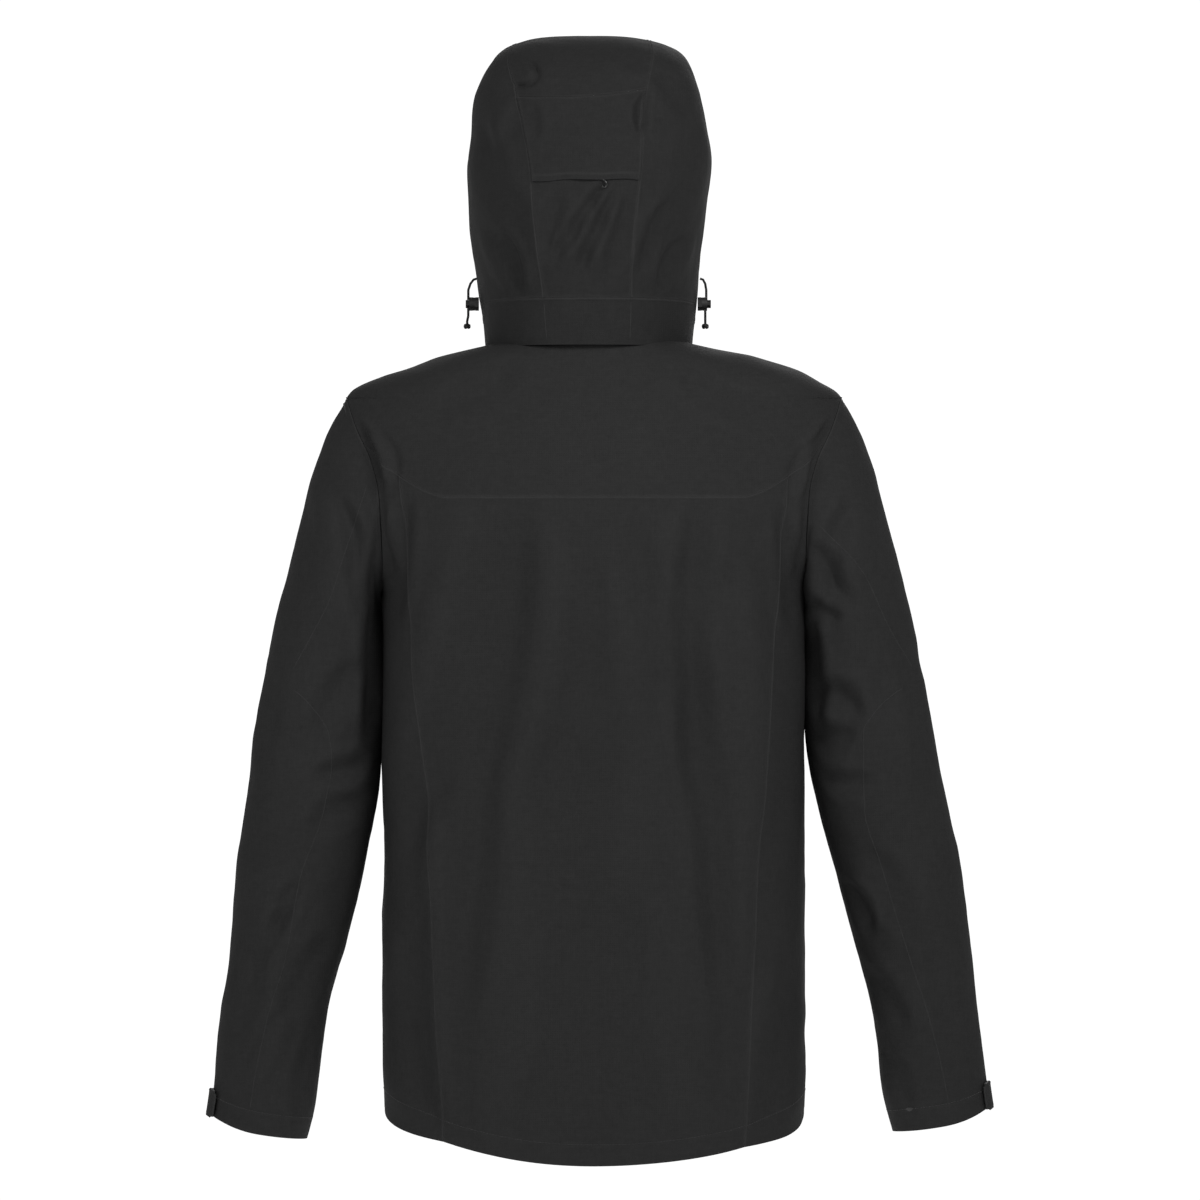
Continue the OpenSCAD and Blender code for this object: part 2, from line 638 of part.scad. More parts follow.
hood_band();
hood_face_tunnel();
hood_flap();
cord_lock_left();
cord_lock_right();
lock_button_left();
lock_button_right();
hood_cord_left();
hood_cord_right();
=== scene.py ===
"""Hooded hardshell jacket: cloth, seams, stitches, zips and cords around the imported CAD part."""
import math

import bpy
import numpy as np
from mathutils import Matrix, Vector
from mathutils.bvhtree import BVHTree


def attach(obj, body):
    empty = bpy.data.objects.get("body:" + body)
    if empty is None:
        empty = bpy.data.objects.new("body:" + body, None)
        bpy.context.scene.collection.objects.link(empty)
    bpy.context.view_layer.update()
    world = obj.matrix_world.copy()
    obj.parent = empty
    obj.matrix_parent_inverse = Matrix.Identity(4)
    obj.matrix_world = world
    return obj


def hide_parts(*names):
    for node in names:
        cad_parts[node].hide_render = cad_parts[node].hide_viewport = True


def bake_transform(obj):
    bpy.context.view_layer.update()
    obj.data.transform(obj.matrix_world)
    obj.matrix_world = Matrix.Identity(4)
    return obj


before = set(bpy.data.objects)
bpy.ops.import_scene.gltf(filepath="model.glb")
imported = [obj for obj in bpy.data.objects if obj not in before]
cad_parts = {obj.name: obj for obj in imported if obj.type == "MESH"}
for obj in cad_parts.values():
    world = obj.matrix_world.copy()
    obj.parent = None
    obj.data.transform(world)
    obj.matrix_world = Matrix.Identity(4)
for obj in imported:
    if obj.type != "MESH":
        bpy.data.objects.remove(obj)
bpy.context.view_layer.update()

MM = 0.001
SIDES = (("left", 1), ("right", -1))
FLIP = np.array([-1.0, 1.0, 1.0])          # turns points of the wearer's left into the right's

scene = bpy.context.scene


def new_object(name, data):
    obj = bpy.data.objects.new(name, data)
    scene.collection.objects.link(obj)
    return obj


# ---------------------------------------------------------------- camera
VIEW_DISTANCE = 9.0          # from the back of the body, metres
VIEW_WIDTH = 1.14            # width of the picture where the jacket hangs, metres
SENSOR = 36.0
camera_data = bpy.data.cameras.new("camera")
camera_data.sensor_width = SENSOR
camera_data.lens = SENSOR * VIEW_DISTANCE / VIEW_WIDTH
camera = new_object("camera", camera_data)
camera.location = (-0.0057, -0.07 + VIEW_DISTANCE, -0.242)
camera.rotation_euler = (math.radians(90), 0, math.radians(180))
scene.camera = camera


# ---------------------------------------------------------------- helpers
def clamp01(t):
    return np.clip(t, 0.0, 1.0)


def smooth(t):
    t = clamp01(t)
    return t * t * (3 - 2 * t)


def mix(a, b, t):
    return a + (b - a) * t


def power(v, e):
    return np.sign(v) * np.abs(v) ** e


def bell(t):
    return np.exp(-t ** 2)


def cos_sin(degrees):
    return np.cos(np.radians(degrees)), np.sin(np.radians(degrees))


class Track:
    """Smooth curve through stations, monotone between them."""

    def __init__(self, *stations):
        self.x, self.y = np.array(sorted(stations), float).T
        h = np.diff(self.x)
        slope = np.diff(self.y) / h
        self.m = np.zeros(len(self.x))
        self.m[0], self.m[-1] = slope[0], slope[-1]
        for i in range(1, len(self.x) - 1):
            if slope[i - 1] * slope[i] > 0:
                w0, w1 = 2 * h[i] + h[i - 1], h[i] + 2 * h[i - 1]
                self.m[i] = (w0 + w1) / (w0 / slope[i - 1] + w1 / slope[i])

    def __call__(self, q):
        q = np.clip(np.asarray(q, float), self.x[0], self.x[-1])
        i = np.clip(np.searchsorted(self.x, q) - 1, 0, len(self.x) - 2)
        h = self.x[i + 1] - self.x[i]
        t = (q - self.x[i]) / h
        a, b = self.y[i], self.y[i + 1]
        return ((2 * t**3 - 3 * t**2 + 1) * a + (t**3 - 2 * t**2 + t) * h * self.m[i]
                + (-2 * t**3 + 3 * t**2) * b + (t**3 - t**2) * h * self.m[i + 1])


def hash_noise(p, seed=0):
    """Value noise in three dimensions, -1 to 1, for an array of points."""
    base = np.floor(p).astype(np.int64)
    f = p - base
    f = f * f * (3 - 2 * f)
    out = 0.0
    for dx in (0, 1):
        for dy in (0, 1):
            for dz in (0, 1):
                n = ((base[..., 0] + dx) * 73856093) ^ ((base[..., 1] + dy) * 19349663)
                n = n ^ ((base[..., 2] + dz) * 83492791) ^ (seed * 2654435)
                n = (n ^ (n >> 13)) * 1274126177 & 0x7FFFFFFF
                v = (n % 100003) / 50001.5 - 1.0
                w = (f[..., 0] if dx else 1 - f[..., 0]) * (f[..., 1] if dy else 1 - f[..., 1])
                out = out + v * w * (f[..., 2] if dz else 1 - f[..., 2])
    return out


# ---------------------------------------------------------------- the body's surface, in millimetres
BODY_HW = 200.0
NECK_DROP = 40.0
BACK_TAIL = 48.0
FRONT_TAIL = 15.0
ARM_DEPTH = 70.0
ARM_TOP, ARM_LOW = -50.0, -235.0
ARM_MID, ARM_HALF = (ARM_TOP + ARM_LOW) / 2, (ARM_TOP - ARM_LOW) / 2
YOKE_Z = -145.0
SIDE_Z = -725.0
COLLAR_H = 72.0
TOP_Z = 2.9                  # where the shoulder cloth ends at the neck
FRONT_SLOPE = 0.033

back_y = Track((-790, 50), (-600, 44), (-450, 40), (-300, 46), (-200, 47), (-150, 43), (-100, 34),
               (-50, 20), (-20, 9), (3, 2), (80, -2))
round_n = Track((-300, 2.6), (-150, 2.4), (-50, 2.0), (3, 2.2))
arm_x = Track((-235, 201), (-204, 200), (-142, 203), (-109, 211), (-81, 224), (-50, 235))
top_w = Track((-50, 236), (-43, 230), (-29, 202), (-22, 182), (-8, 136), (-1, 108), (3, 90))
seam_x = Track((-790, 140), (-675, 145), (-575, 150), (-485, 154), (-400, 161), (-280, 170),
               (-204, 177), (-145, 181), (-120, 183))


def front_line(z):
    return -207.5 + FRONT_SLOPE * z


def low_k(z):
    return smooth((z + 170) / 170)


def drop_at(y):
    return NECK_DROP * smooth((-95 - y) / 112)


def front_p(z):
    return front_line(z - NECK_DROP * low_k(z))


def mid_y(z):
    return (back_y(z) + front_p(z)) / 2


def half_d(z):
    return (back_y(z) - front_p(z)) / 2


def arm_open(z):
    r = (z - ARM_MID) / ARM_HALF
    return ARM_DEPTH * np.sqrt(np.maximum(0, 1 - r * r))


def half_w(z):
    n = round_n(z)
    arm = arm_x(z) / (1 - (arm_open(z) / half_d(z)) ** n) ** (1 / n)
    low = BODY_HW + smooth((z + 400) / 165)
    return np.where(z > ARM_TOP, top_w(z), np.where(z > ARM_LOW, arm, low))


def body_pt(z, a):
    n = round_n(z)
    c, s = cos_sin(a)
    y = mid_y(z) + half_d(z) * power(c, 2 / n)
    return np.stack([half_w(z) * power(s, 2 / n), y, z - low_k(z) * drop_at(y)], -1)


def ang_x(z, x):
    return np.degrees(np.arcsin(np.minimum(1, np.abs(x) / half_w(z)) ** (round_n(z) / 2)))


def ang_side(z):
    return np.degrees(np.arccos((np.maximum(arm_open(z), 0.02) / half_d(z)) ** (round_n(z) / 2)))


def between(z, u):
    """Angle u of the way from the side seam to the princess seam."""
    return mix(ang_side(z), ang_x(z, seam_x(z)), u)


def yoke_edge(x):
    return YOKE_Z + 36 * (np.maximum(0, np.abs(x) - 140) / 62) ** 1.6


def on_yoke_edge(angle, z):
    """Height where the line of angle(height) meets the yoke's seam, found from a height near it."""
    for _ in range(4):
        z = yoke_edge(body_pt(z, angle(z))[..., 0])
    return z


def hem_z(x, tail):
    """Height of the hem, its tail rounder on the wearer's left."""
    share = smooth((x + 120) / 240)
    inner = np.maximum(0, 1 - np.minimum(1, np.abs(x) / BODY_HW) ** 2)
    return SIDE_Z - tail * inner ** mix(0.6, 0.85, share)


# ---------------------------------------------------------------- folds
def fold(x, z, ax, az, bx, bz, width, depth, bend=0.0, lean=0.0):
    """A soft valley (depth < 0) or ridge along a bent line from a to b on a chart of the surface."""
    length = np.hypot(bx - ax, bz - az)
    ux, uz = (bx - ax) / length, (bz - az) / length
    px, pz = x - ax, z - az
    s = (px * ux + pz * uz) / length
    n = -px * uz + pz * ux - bend * 4 * clamp01(s) * (1 - clamp01(s))
    fade = smooth((s + 0.12) / 0.34) * smooth((1.12 - s) / 0.34)
    r = n / (width * (0.65 + 0.35 * np.sin(np.pi * clamp01(s))))
    profile = bell(r) - 0.35 * bell((np.abs(r) - 1.9) / 0.8)
    return depth * fade * profile * (1 + lean * np.tanh(r))


def fold_sum(folds, x, z):
    return sum(fold(x, z, *row) for row in folds)


def crumple(p, size, amount, seed):
    """Low random swell of worn cloth; p in millimetres."""
    q = p / size
    warp = np.stack([hash_noise(q * 0.7 + shift, seed + k + 1) for k, shift in enumerate((11, 37, 71))], -1)
    return amount * hash_noise(q + 0.8 * warp, seed)


def crumples(p, *layers):
    return sum(crumple(p, *layer) for layer in layers)


# ---------------------------------------------------------------- cloth meshes
FINE = (0.0, 0.45, 0.9, 1.5, 2.4, 4.0)         # millimetres from an edge where its mesh is fine
NARROW = (0, 0.8, 1.8)


def edge_steps(count, length, fine=FINE):
    """Parameters from 0 to 1 with close steps at both ends, for a side of that length."""
    near = np.array(fine) / length
    inner = np.linspace(near[-1], 1 - near[-1], max(2, count))
    return np.concatenate([near[:-1], inner, 1 - near[:-1][::-1]])


def ring_steps(count):
    return np.arange(count) / count


def unit(v):
    return v / np.maximum(1e-9, np.linalg.norm(v, axis=-1, keepdims=True))


def grid_normals(p, wrap=False):
    du = np.roll(p, -1, 1) - np.roll(p, 1, 1) if wrap else np.gradient(p, axis=1)
    return unit(np.cross(du, np.gradient(p, axis=0)))


def mesh_object(name, verts, faces, material, smooth_shade=True):
    """A mesh of points in millimetres."""
    mesh = bpy.data.meshes.new(name)
    mesh.from_pydata((np.asarray(verts) * MM).tolist(), [], faces)
    mesh.validate()
    mesh.update()
    if smooth_shade:
        mesh.polygons.foreach_set("use_smooth", [True] * len(mesh.polygons))
    mesh.materials.append(material)
    return new_object(name, mesh)


def give(obj, body=None, *nodes):
    """The body the piece rides on and the CAD nodes it stands for."""
    if nodes:
        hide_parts(*nodes)
    if body:
        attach(obj, body)
    return obj


def sheet_mesh(name, p, thick, material, wrap, seam):
    """Closed thin cloth from a grid of points p[v][u]; the outside is on the left of u then v."""
    nv, nu = p.shape[:2]
    m = nv * nu
    inner = p - thick * grid_normals(p, wrap)
    i = np.arange(nu if wrap else nu - 1)
    j = np.arange(nv - 1)
    jj, ii = np.meshgrid(j * nu, i, indexing="ij")
    nxt = (ii + 1) % nu
    top = np.stack([jj + ii, jj + nxt, jj + nu + nxt, jj + nu + ii], -1).reshape(-1, 4)
    faces = [top, top[:, ::-1] + m]

    def rim(a, b):
        faces.append(np.stack([a, a + m, b + m, b], -1))
    last = (nv - 1) * nu
    rim(i, (i + 1) % nu)
    rim(last + (i + 1) % nu, last + i)
    if not wrap:
        rim((j + 1) * nu, j * nu)
        rim(j * nu + nu - 1, (j + 1) * nu + nu - 1)
    obj = mesh_object(name, np.concatenate([p.reshape(-1, 3), inner.reshape(-1, 3)]),
                      np.concatenate(faces).tolist(), material)
    obj.data.set_sharp_from_angle(angle=math.radians(50))       # crisp cut edges
    # the seam attribute: painted shade and highlights, and pale lines, read by the cloth's colour
    layer = obj.data.attributes.new("seam", "FLOAT", "POINT")
    layer.data.foreach_set("value", np.tile(seam.reshape(-1), 2).astype(np.float32))
    return obj


PAINTED_CREASE_SHADE = 0.075               # painted shade: how much darker the cloth is painted per millimetre of valley; ridges are painted paler, a painted highlight


def seam_profile(d):
    """Height of the cloth near a sewn edge, by distance from it, in millimetres."""
    return 0.42 * bell((d - 1.3) / 0.9) - 0.3 * bell(d / 0.4)


def grid_area(p):
    """Area and the longest row and column of a grid of points, all in metres."""
    a = np.cross(p[1:, 1:] - p[:-1, :-1], p[1:, :-1] - p[:-1, 1:])
    rows, cols = (np.linalg.norm(np.diff(p, axis=k), axis=-1).sum(k).max() for k in (1, 0))
    return float(np.linalg.norm(a, axis=-1).sum() / 2) * MM * MM, float(rows) * MM, float(cols) * MM


def up_to_5_mm(length):
    return math.ceil(length * 200) / 200


def panel(name, surface, us, vs, material, thick=0.9, wrap=False, relief=None, seams="", tone=None):
    """A cloth panel: surface(u, v) gives points, relief(points, v) moves them along the normal and sets
    painted shade in the valleys and a painted highlight on the ridges, seams names the sewn sides among l, r, b
    and t and puts a painted highlight along them, and tone(points) marks pale lines.
    us and vs are parameters, or what edge_steps takes."""
    u, v = np.meshgrid(*(edge_steps(*row) if isinstance(row, tuple) else row for row in (us, vs)))
    p = surface(u, v)
    lift = relief(p, v) if relief else np.zeros(u.shape)
    # painted shade in the valleys, painted highlight on the ridges
    painted_light_mark = PAINTED_CREASE_SHADE * np.clip(lift, -4.5, 1.5)
    along_u = np.pad(np.cumsum(np.linalg.norm(np.diff(p, axis=1), axis=-1), 1), ((0, 0), (1, 0)))
    along_v = np.pad(np.cumsum(np.linalg.norm(np.diff(p, axis=0), axis=-1), 0), ((1, 0), (0, 0)))
    sides = {"l": along_u, "r": along_u[:, -1:] - along_u, "b": along_v, "t": along_v[-1:] - along_v}
    # a painted highlight along each sewn side
    for side in seams:
        lift = lift + seam_profile(sides[side])
        painted_light_mark = np.maximum(painted_light_mark, bell(sides[side] / 1.2))
    if tone:
        painted_light_mark = np.maximum(painted_light_mark, tone(p))
    obj = sheet_mesh(name, p + lift[..., None] * grid_normals(p, wrap), thick, material, wrap, painted_light_mark)
    area, width, length = grid_area(np.concatenate([p, p[:, :1]], 1) if wrap else p)
    width, length = up_to_5_mm(width), up_to_5_mm(length)
    return obj


SWAP_SIDES = str.maketrans("lr", "rl")


def cloth(name, surface, us, vs, material, body, nodes=(), mirror=False, seams="", **how):
    """A panel that rides on a body; mirror makes the wearer's right piece from the left one's surface."""
    def placed(u, v):
        p = surface(u, v)
        return p[:, ::-1] * FLIP if mirror else p
    if mirror:
        seams = seams.translate(SWAP_SIDES)
    return give(panel(name, placed, us, vs, material, seams=seams, **how), body, *nodes)


def tube_mesh(name, points, radius, material, sides=8):
    """Round cord along points in millimetres."""
    pts = np.array(points, float)
    k = len(pts)
    tang = unit(np.gradient(pts, axis=0))
    ref = np.array([1.0, 0, 0]) if abs(tang[0][2]) > 0.8 else np.array([0, 0, 1.0])
    side = unit(np.cross(tang[0], ref))
    ang = 2 * np.pi * ring_steps(sides)[:, None]
    rings = []
    for point, along in zip(pts, tang):
        side = unit(side - along * np.dot(side, along))
        rings.append(point + radius * (np.cos(ang) * side + np.sin(ang) * np.cross(along, side)))
    return mesh_object(name, np.concatenate(rings), ring_faces(k, sides), material)


def ring_faces(rings, sides):
    """Faces of a closed tube of rings of points."""
    faces = [[i * sides + j, i * sides + (j + 1) % sides, (i + 1) * sides + (j + 1) % sides,
              (i + 1) * sides + j] for i in range(rings - 1) for j in range(sides)]
    return faces + [list(range(sides))[::-1], [(rings - 1) * sides + j for j in range(sides)]]


def boxes_mesh(name, centres, halves, axes, material):
    """Many small bevelled blocks in one mesh: centres[n], halves[n][3] along the three axes."""
    corner = np.array([[x, y, z] for x in (-1, 1) for y in (-1, 1) for z in (-1, 1)], float)
    quads = np.array([(0, 1, 3, 2), (4, 6, 7, 5), (0, 4, 5, 1), (2, 3, 7, 6), (0, 2, 6, 4), (1, 5, 7, 3)])
    verts = [c + (corner * h) @ axes for c, h in zip(centres, halves)]
    faces = [row for k in range(len(verts)) for row in (quads + 8 * k).tolist()]
    obj = mesh_object(name, np.concatenate(verts), faces, material, False)
    bevel = obj.modifiers.new("bevel", "BEVEL")
    bevel.width = 0.12 * MM
    bevel.segments = 1
    return obj


# ---------------------------------------------------------------- materials
def srgb(v):
    v = v / 255.0
    return v / 12.92 if v <= 0.04045 else ((v + 0.055) / 1.055) ** 2.4


class Graph:
    """A new material, or world, whose nodes are added and joined one call at a time."""

    def __init__(self, name, kind=bpy.data.materials, space="Object"):
        self.made = kind.new(name)
        self.made.use_nodes = True
        self.tree = self.made.node_tree
        self.coord = self.add("TexCoord", {}).outputs[space]

    def join(self, node, inputs):
        for key, value in inputs.items():
            if isinstance(value, bpy.types.NodeSocket):
                self.tree.links.new(value, node.inputs[key])
            else:
                node.inputs[key].default_value = value

    def add(self, kind, inputs, **settings):
        node = self.tree.nodes.new("ShaderNode" + kind)
        for key, value in settings.items():
            setattr(node, key, value)
        self.join(node, inputs)
        return node

    def math(self, operation, a, b):
        return self.add("Math", {0: a, 1: b}, operation=operation).outputs[0]

    def noise(self, scale, detail, stretch=(1, 1, 1)):
        place = self.add("Mapping", {"Vector": self.coord, "Scale": stretch}).outputs[0]
        return self.add("TexNoise", {"Vector": place, "Scale": scale, "Detail": detail}).outputs[0]

    def swing(self, source, middle, gain):
        return self.math("MULTIPLY", self.math("SUBTRACT", source, middle), gain)

    def finish(self, **inputs):
        """Sets the shader's own inputs, named with underscores for spaces."""
        inputs = {key.replace("_", " "): value for key, value in inputs.items()}
        self.join(self.tree.nodes["Principled BSDF"], inputs)
        return self.made

    def dye(self, grey, gain):
        return self.add("VectorMath", {0: (srgb(grey),) * 3, "Scale": gain}, operation="SCALE").outputs[0]

    def bumps(self, height, strength, distance):
        return self.add("Bump", {"Height": height, "Strength": strength, "Distance": distance}).outputs[0]


def fabric(name, grey, speckle=0.3, weave=1150.0, bump=0.35, rough=0.82, sheen=0.25, painted_light_gain=0.6):
    """Matt woven cloth: thread crossings, mottled yarn and slow fading, with painted shade in creases and painted
    highlights on ridges and along seams, taken from the seam attribute.
    """
    g = Graph(name)
    fine = g.noise(900.0, 2.0)
    wave = {"Vector": g.coord, "Scale": weave / (2 * math.pi), "Distortion": 0.6, "Detail": 1.0}
    waves = [g.add("TexWave", wave, wave_type="BANDS", bands_direction=way).outputs["Fac"] for way in ("X", "Z")]
    threads = g.math("MAXIMUM", *waves)
    # the seam attribute holds painted shade in creases, painted highlights on ridges and seams, and pale lines
    seam = g.add("Attribute", {}, attribute_name="seam").outputs["Fac"]
    gain = g.math("ADD", g.math("MULTIPLY", seam, painted_light_gain), 1.0)
    yarns = [g.noise(420.0, 1.0, stretch) for stretch in ((1.0, 1.0, 0.22), (0.22, 0.22, 1.0))]
    blotch, slow = g.noise(130.0, 3.0), g.noise(9.0, 2.0)
    for source, middle, part in ((fine, 0.5, 1.3), (yarns[0], 0.5, 0.8), (yarns[1], 0.5, 0.8), (blotch, 0.5, 0.6),
                                 (slow, 0.5, 0.4), (threads, 0.7, 0.25)):
        gain = g.math("ADD", gain, g.swing(source, middle, part * speckle))
    height = g.math("ADD", g.math("MULTIPLY", threads, 0.6), fine)
    return g.finish(Base_Color=g.dye(grey, g.math("MAXIMUM", gain, 0.2)), Roughness=rough,
                    Specular_IOR_Level=0.12, Sheen_Weight=sheen, Sheen_Roughness=0.6,
                    Normal=g.bumps(height, bump, 0.0004))


def hard(name, grey, rough, metal=0.0):
    """Moulded or enamelled small part with scuffs and a fine grain."""
    g = Graph(name)
    scuff = g.noise(260.0, 4.0)
    return g.finish(Base_Color=g.dye(grey, g.math("ADD", g.math("MULTIPLY", scuff, 0.3), 0.85)), Metallic=metal,
                    Roughness=g.math("ADD", g.math("MULTIPLY", scuff, 0.25), rough - 0.12),
                    Normal=g.bumps(g.noise(2600.0, 2.0), 0.2, 0.0002))


SHELL = fabric("shell_cloth", 36, sheen=0.0)
# the shell cloth painted paler for the seam ridges: a painted highlight
SEAM_HIGHLIGHT_CLOTH = fabric("seam_highlight_cloth", 43, sheen=0.0)
# the shell cloth painted darker for the hood: painted shade
HOOD_SHADED_SHELL = fabric("hood_shaded_shell_cloth", 34, sheen=0.0)
FACING = fabric("facing_cloth", 36, speckle=0.35, weave=1500.0, painted_light_gain=0.2)
TAPE = fabric("woven_tape", 30, speckle=0.4, weave=2200.0, bump=0.6, rough=0.7, sheen=0.1)
LINING = fabric("brushed_lining", 40, speckle=0.5, weave=700.0, bump=0.7, rough=0.95, sheen=0.6)
CORD = fabric("braided_cord", 30, speckle=0.9, weave=2400.0, bump=0.8, rough=0.6, sheen=0.2)
THREAD = fabric("sewing_thread", 36, speckle=0.4, weave=3000.0, rough=0.6, sheen=0.2)
HOOK = fabric("hook_and_loop", 26, speckle=1.1, weave=1800.0, bump=1.0, rough=0.9, sheen=0.4)
PLASTIC = hard("moulded_plastic", 30, 0.5)
TEETH = hard("zip_teeth", 28, 0.42)
ENAMEL = hard("black_enamel", 26, 0.35, metal=0.6)
BUTTON = hard("gloss_button", 28, 0.25)

# ---------------------------------------------------------------- free cords (routes as in the part's source)
HOOD_LEAN = 5.5                  # the hood sits a little to the wearer's left
CORD_D = 2.6
CORD_RUNS = {
    "left": [(107, -150, 66), (110, -150, 65), (113, -149, 61), (115, -148, 55), (115, -147, 50),
             (115, -146, 45), (115, -145, 40), (115, -144, 35), (115, -143, 30), (116, -142, 25),
             (116, -141, 20)],
    "right": [(-107, -150, 66), (-110, -150, 65), (-112, -149, 61), (-113, -148, 55), (-113, -147, 50),
              (-113, -146, 45), (-112, -145, 40), (-112, -144, 35), (-112, -143, 30), (-112, -142, 25),
              (-112, -141, 20)]}


def free_cord(side, run):
    """A short tail of the face cord with an overhand knot at its end."""
    run = [(x + HOOD_LEAN, y, z) for x, y, z in run]
    tube = tube_mesh("hood_cord_tail_" + side, run, CORD_D * 0.47, CORD, 10)
    give(tube, "hood", "hood_cord_" + side)
    turns = 2 * np.pi * np.linspace(0, 1, 22)[:, None]
    ring = np.array(run[-1]) + np.hstack([2.1 * np.cos(turns), 1.7 * np.sin(turns), 1.3 * np.sin(2 * turns)])
    knot = give(tube_mesh("hood_cord_knot_" + side, ring, CORD_D * 0.52, CORD), "hood")
    length = sum(math.dist(a, b) for a, b in zip(run, run[1:]))
    path = [tuple(v * MM for v in point) for point in run]
    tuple(path[0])


for side, run in CORD_RUNS.items():
    free_cord(side, run)

# ---------------------------------------------------------------- the body panels
# folds: start x, z, end x, z, width, depth, bend, lean, all in millimetres
FOLD_GAIN = 1.95
BACK_FOLDS = [
    (86, -158, 168, -470, 26, -4.2, -14, 0.25),
    (66, -160, 108, -430, 20, -3.2, -8),
    (100, -400, 126, -620, 19, -3.0, 2),
    (28, -200, 78, -430, 20, 1.3, -8),
    (-92, -270, -120, -610, 15, -2.8, -3),
    (168, -430, 160, -700, 13, -2.6, 4),
    (120, -300, 176, -560, 16, 1.8, 6),
    (-100, -152, -94, -420, 15, -2.8, 8, 0.2),
    (-140, -210, -150, -480, 18, 1.8, -5),
    (-35, -170, -60, -360, 17, -1.6, -6),
    (10, -200, 20, -560, 34, -1.6, 5),
    (182, -600, 150, -735, 15, -2.6, 5),
    (-186, -590, -160, -740, 15, -2.2, -5),
    (60, -560, 95, -730, 22, 1.6, 4),
    (-60, -520, -85, -720, 24, 1.6, -5),
    (0, -610, 6, -770, 26, -1.3),
    (226, -74, 203, -140, 7, -3.2, -5),
    (214, -84, 192, -132, 6, 1.8, -4),
    (203, -150, 196, -220, 8, -3.0, 3),
    (-228, -70, -206, -140, 7, -2.8, 5),
    (-215, -92, -190, -150, 6, 1.6, 4),
    (-204, -150, -196, -225, 8, -2.6, -3),
    (70, -20, 150, -60, 12, -0.9, -5),
    (-80, -22, -150, -66, 12, -0.9, 5),
    (175, -150, 188, -260, 9, -2.2, 3),
    (-176, -160, -189, -270, 9, -2.0, -3),
]
FRONT_FOLDS = [
    (60, -160, 120, -380, 22, -3.0, -8, 0.2),
    (-60, -170, -110, -400, 20, -3.0, 8),
    (150, -120, 185, -300, 14, -2.4, 5),
    (-150, -120, -186, -300, 14, -2.4, -5),
    (35, -420, 55, -700, 24, -1.8, 4),
    (-35, -430, -60, -700, 24, -1.8, -4),
    (165, -480, 150, -700, 18, -2.0, 4),
    (-165, -480, -150, -700, 18, -2.0, -4),
    (60, -30, 130, -70, 12, -1.6, -5),
    (-60, -30, -130, -70, 12, -1.6, 5),
]
FLAT_X, ARM_CALM_X = 4, 195          # the cloth lies flat this near the zip, and beside the armhole


def body_relief(p, v=None):
    x, y, z = p[..., 0], p[..., 1], p[..., 2]
    back = smooth((y + 92) / 60 + 0.5)
    total = 1.35 * FOLD_GAIN * (back * fold_sum(BACK_FOLDS, x, z) + (1 - back) * fold_sum(FRONT_FOLDS, x, z))
    total = total + crumples(p, (70.0, 1.5, 5), (28.0, 0.45, 9), (11.0, 0.12, 3))
    total = total + 3.6 * np.exp(-((x + 168) / 42) ** 4) * smooth((z + 62) / 30)      # fuller right shoulder
    calm = smooth((np.abs(x) - FLAT_X) / 26) * (1 - back) + back
    raised = z + low_k(z) * drop_at(y)
    arm = np.hypot((raised - ARM_MID) / ARM_HALF, (y - mid_y(raised)) / ARM_DEPTH)
    near_arm = np.where(np.abs(x) > ARM_CALM_X, smooth((arm - 1) * 80 / 9), 1.0)
    return total * calm * near_arm * (0.3 + 0.7 * smooth((1 - z) / 14))


PALE_LINE_TONE = 0.22                       # how pale the lines above the hem and the cuffs are
HEM_DEPTH = 20.0


def hem_marks(p):
    """Pale line above the hem's edge."""
    x, y, z = p[..., 0], p[..., 1], p[..., 2]
    edge = np.where(y > -92, hem_z(x, BACK_TAIL), hem_z(x, FRONT_TAIL))
    return PALE_LINE_TONE * bell((z - edge - HEM_DEPTH) / 1.1)


def body_piece(base, surface, steps, size, seams, side="", tone=hem_marks):
    """One cut piece of cloth, with that many steps each way over about that many millimetres."""
    cloth(base + "_cloth" + side, surface, *zip(steps, size), SHELL, "shell", (base + side,), side == "_right",
          seams, relief=body_relief, tone=tone)


def back_surface(u, v):
    c = 1 - 2 * u
    z = mix(hem_z(c * seam_x(-740.0), BACK_TAIL), yoke_edge(c * 182.6), v)
    return body_pt(z, np.sign(c) * ang_x(z, c * seam_x(z)))


def yoke_surface(u, v):
    c = 1 - 2 * u
    z = mix(on_yoke_edge(lambda z: np.abs(c) * ang_side(z), -125.0), TOP_Z, v ** 0.85)
    return body_pt(z, c * ang_side(z))


def side_surface(sign):
    def surface(u, v):
        low = hem_z(sign * mix(BODY_HW, seam_x(-740.0), u), BACK_TAIL)
        z = mix(low, on_yoke_edge(lambda z: between(z, u), -122.0), v)
        return body_pt(z, between(z, u))
    return surface


def front_angle(z, u):
    return mix(180 - ang_x(z, 7.0), 180 - ang_side(z), u)


def front_surface(sign):
    def surface(u, v):
        z = mix(hem_z(sign * BODY_HW * np.sin(np.radians(90 * u)), FRONT_TAIL), YOKE_Z, v)
        return body_pt(z, front_angle(z, u))
    return surface


def chest_surface(u, v):
    z = mix(YOKE_Z, TOP_Z, v ** 0.85)
    return body_pt(z, front_angle(z, u))


body_piece("back_panel", back_surface, (100, 200), (290, 630), "lrt")
body_piece("back_yoke", yoke_surface, (150, 64), (440, 190), "lrbt", tone=None)
for side, sign in SIDES:
    body_piece("side_panel", side_surface(sign), (18, 200), (58, 600), "lrt", "_" + side)
    body_piece("front_panel", front_surface(sign), (84, 190), (260, 590), "lrt", "_" + side)
    body_piece("chest_panel", chest_surface, (84, 50), (260, 160), "lrbt", "_" + side, tone=None)

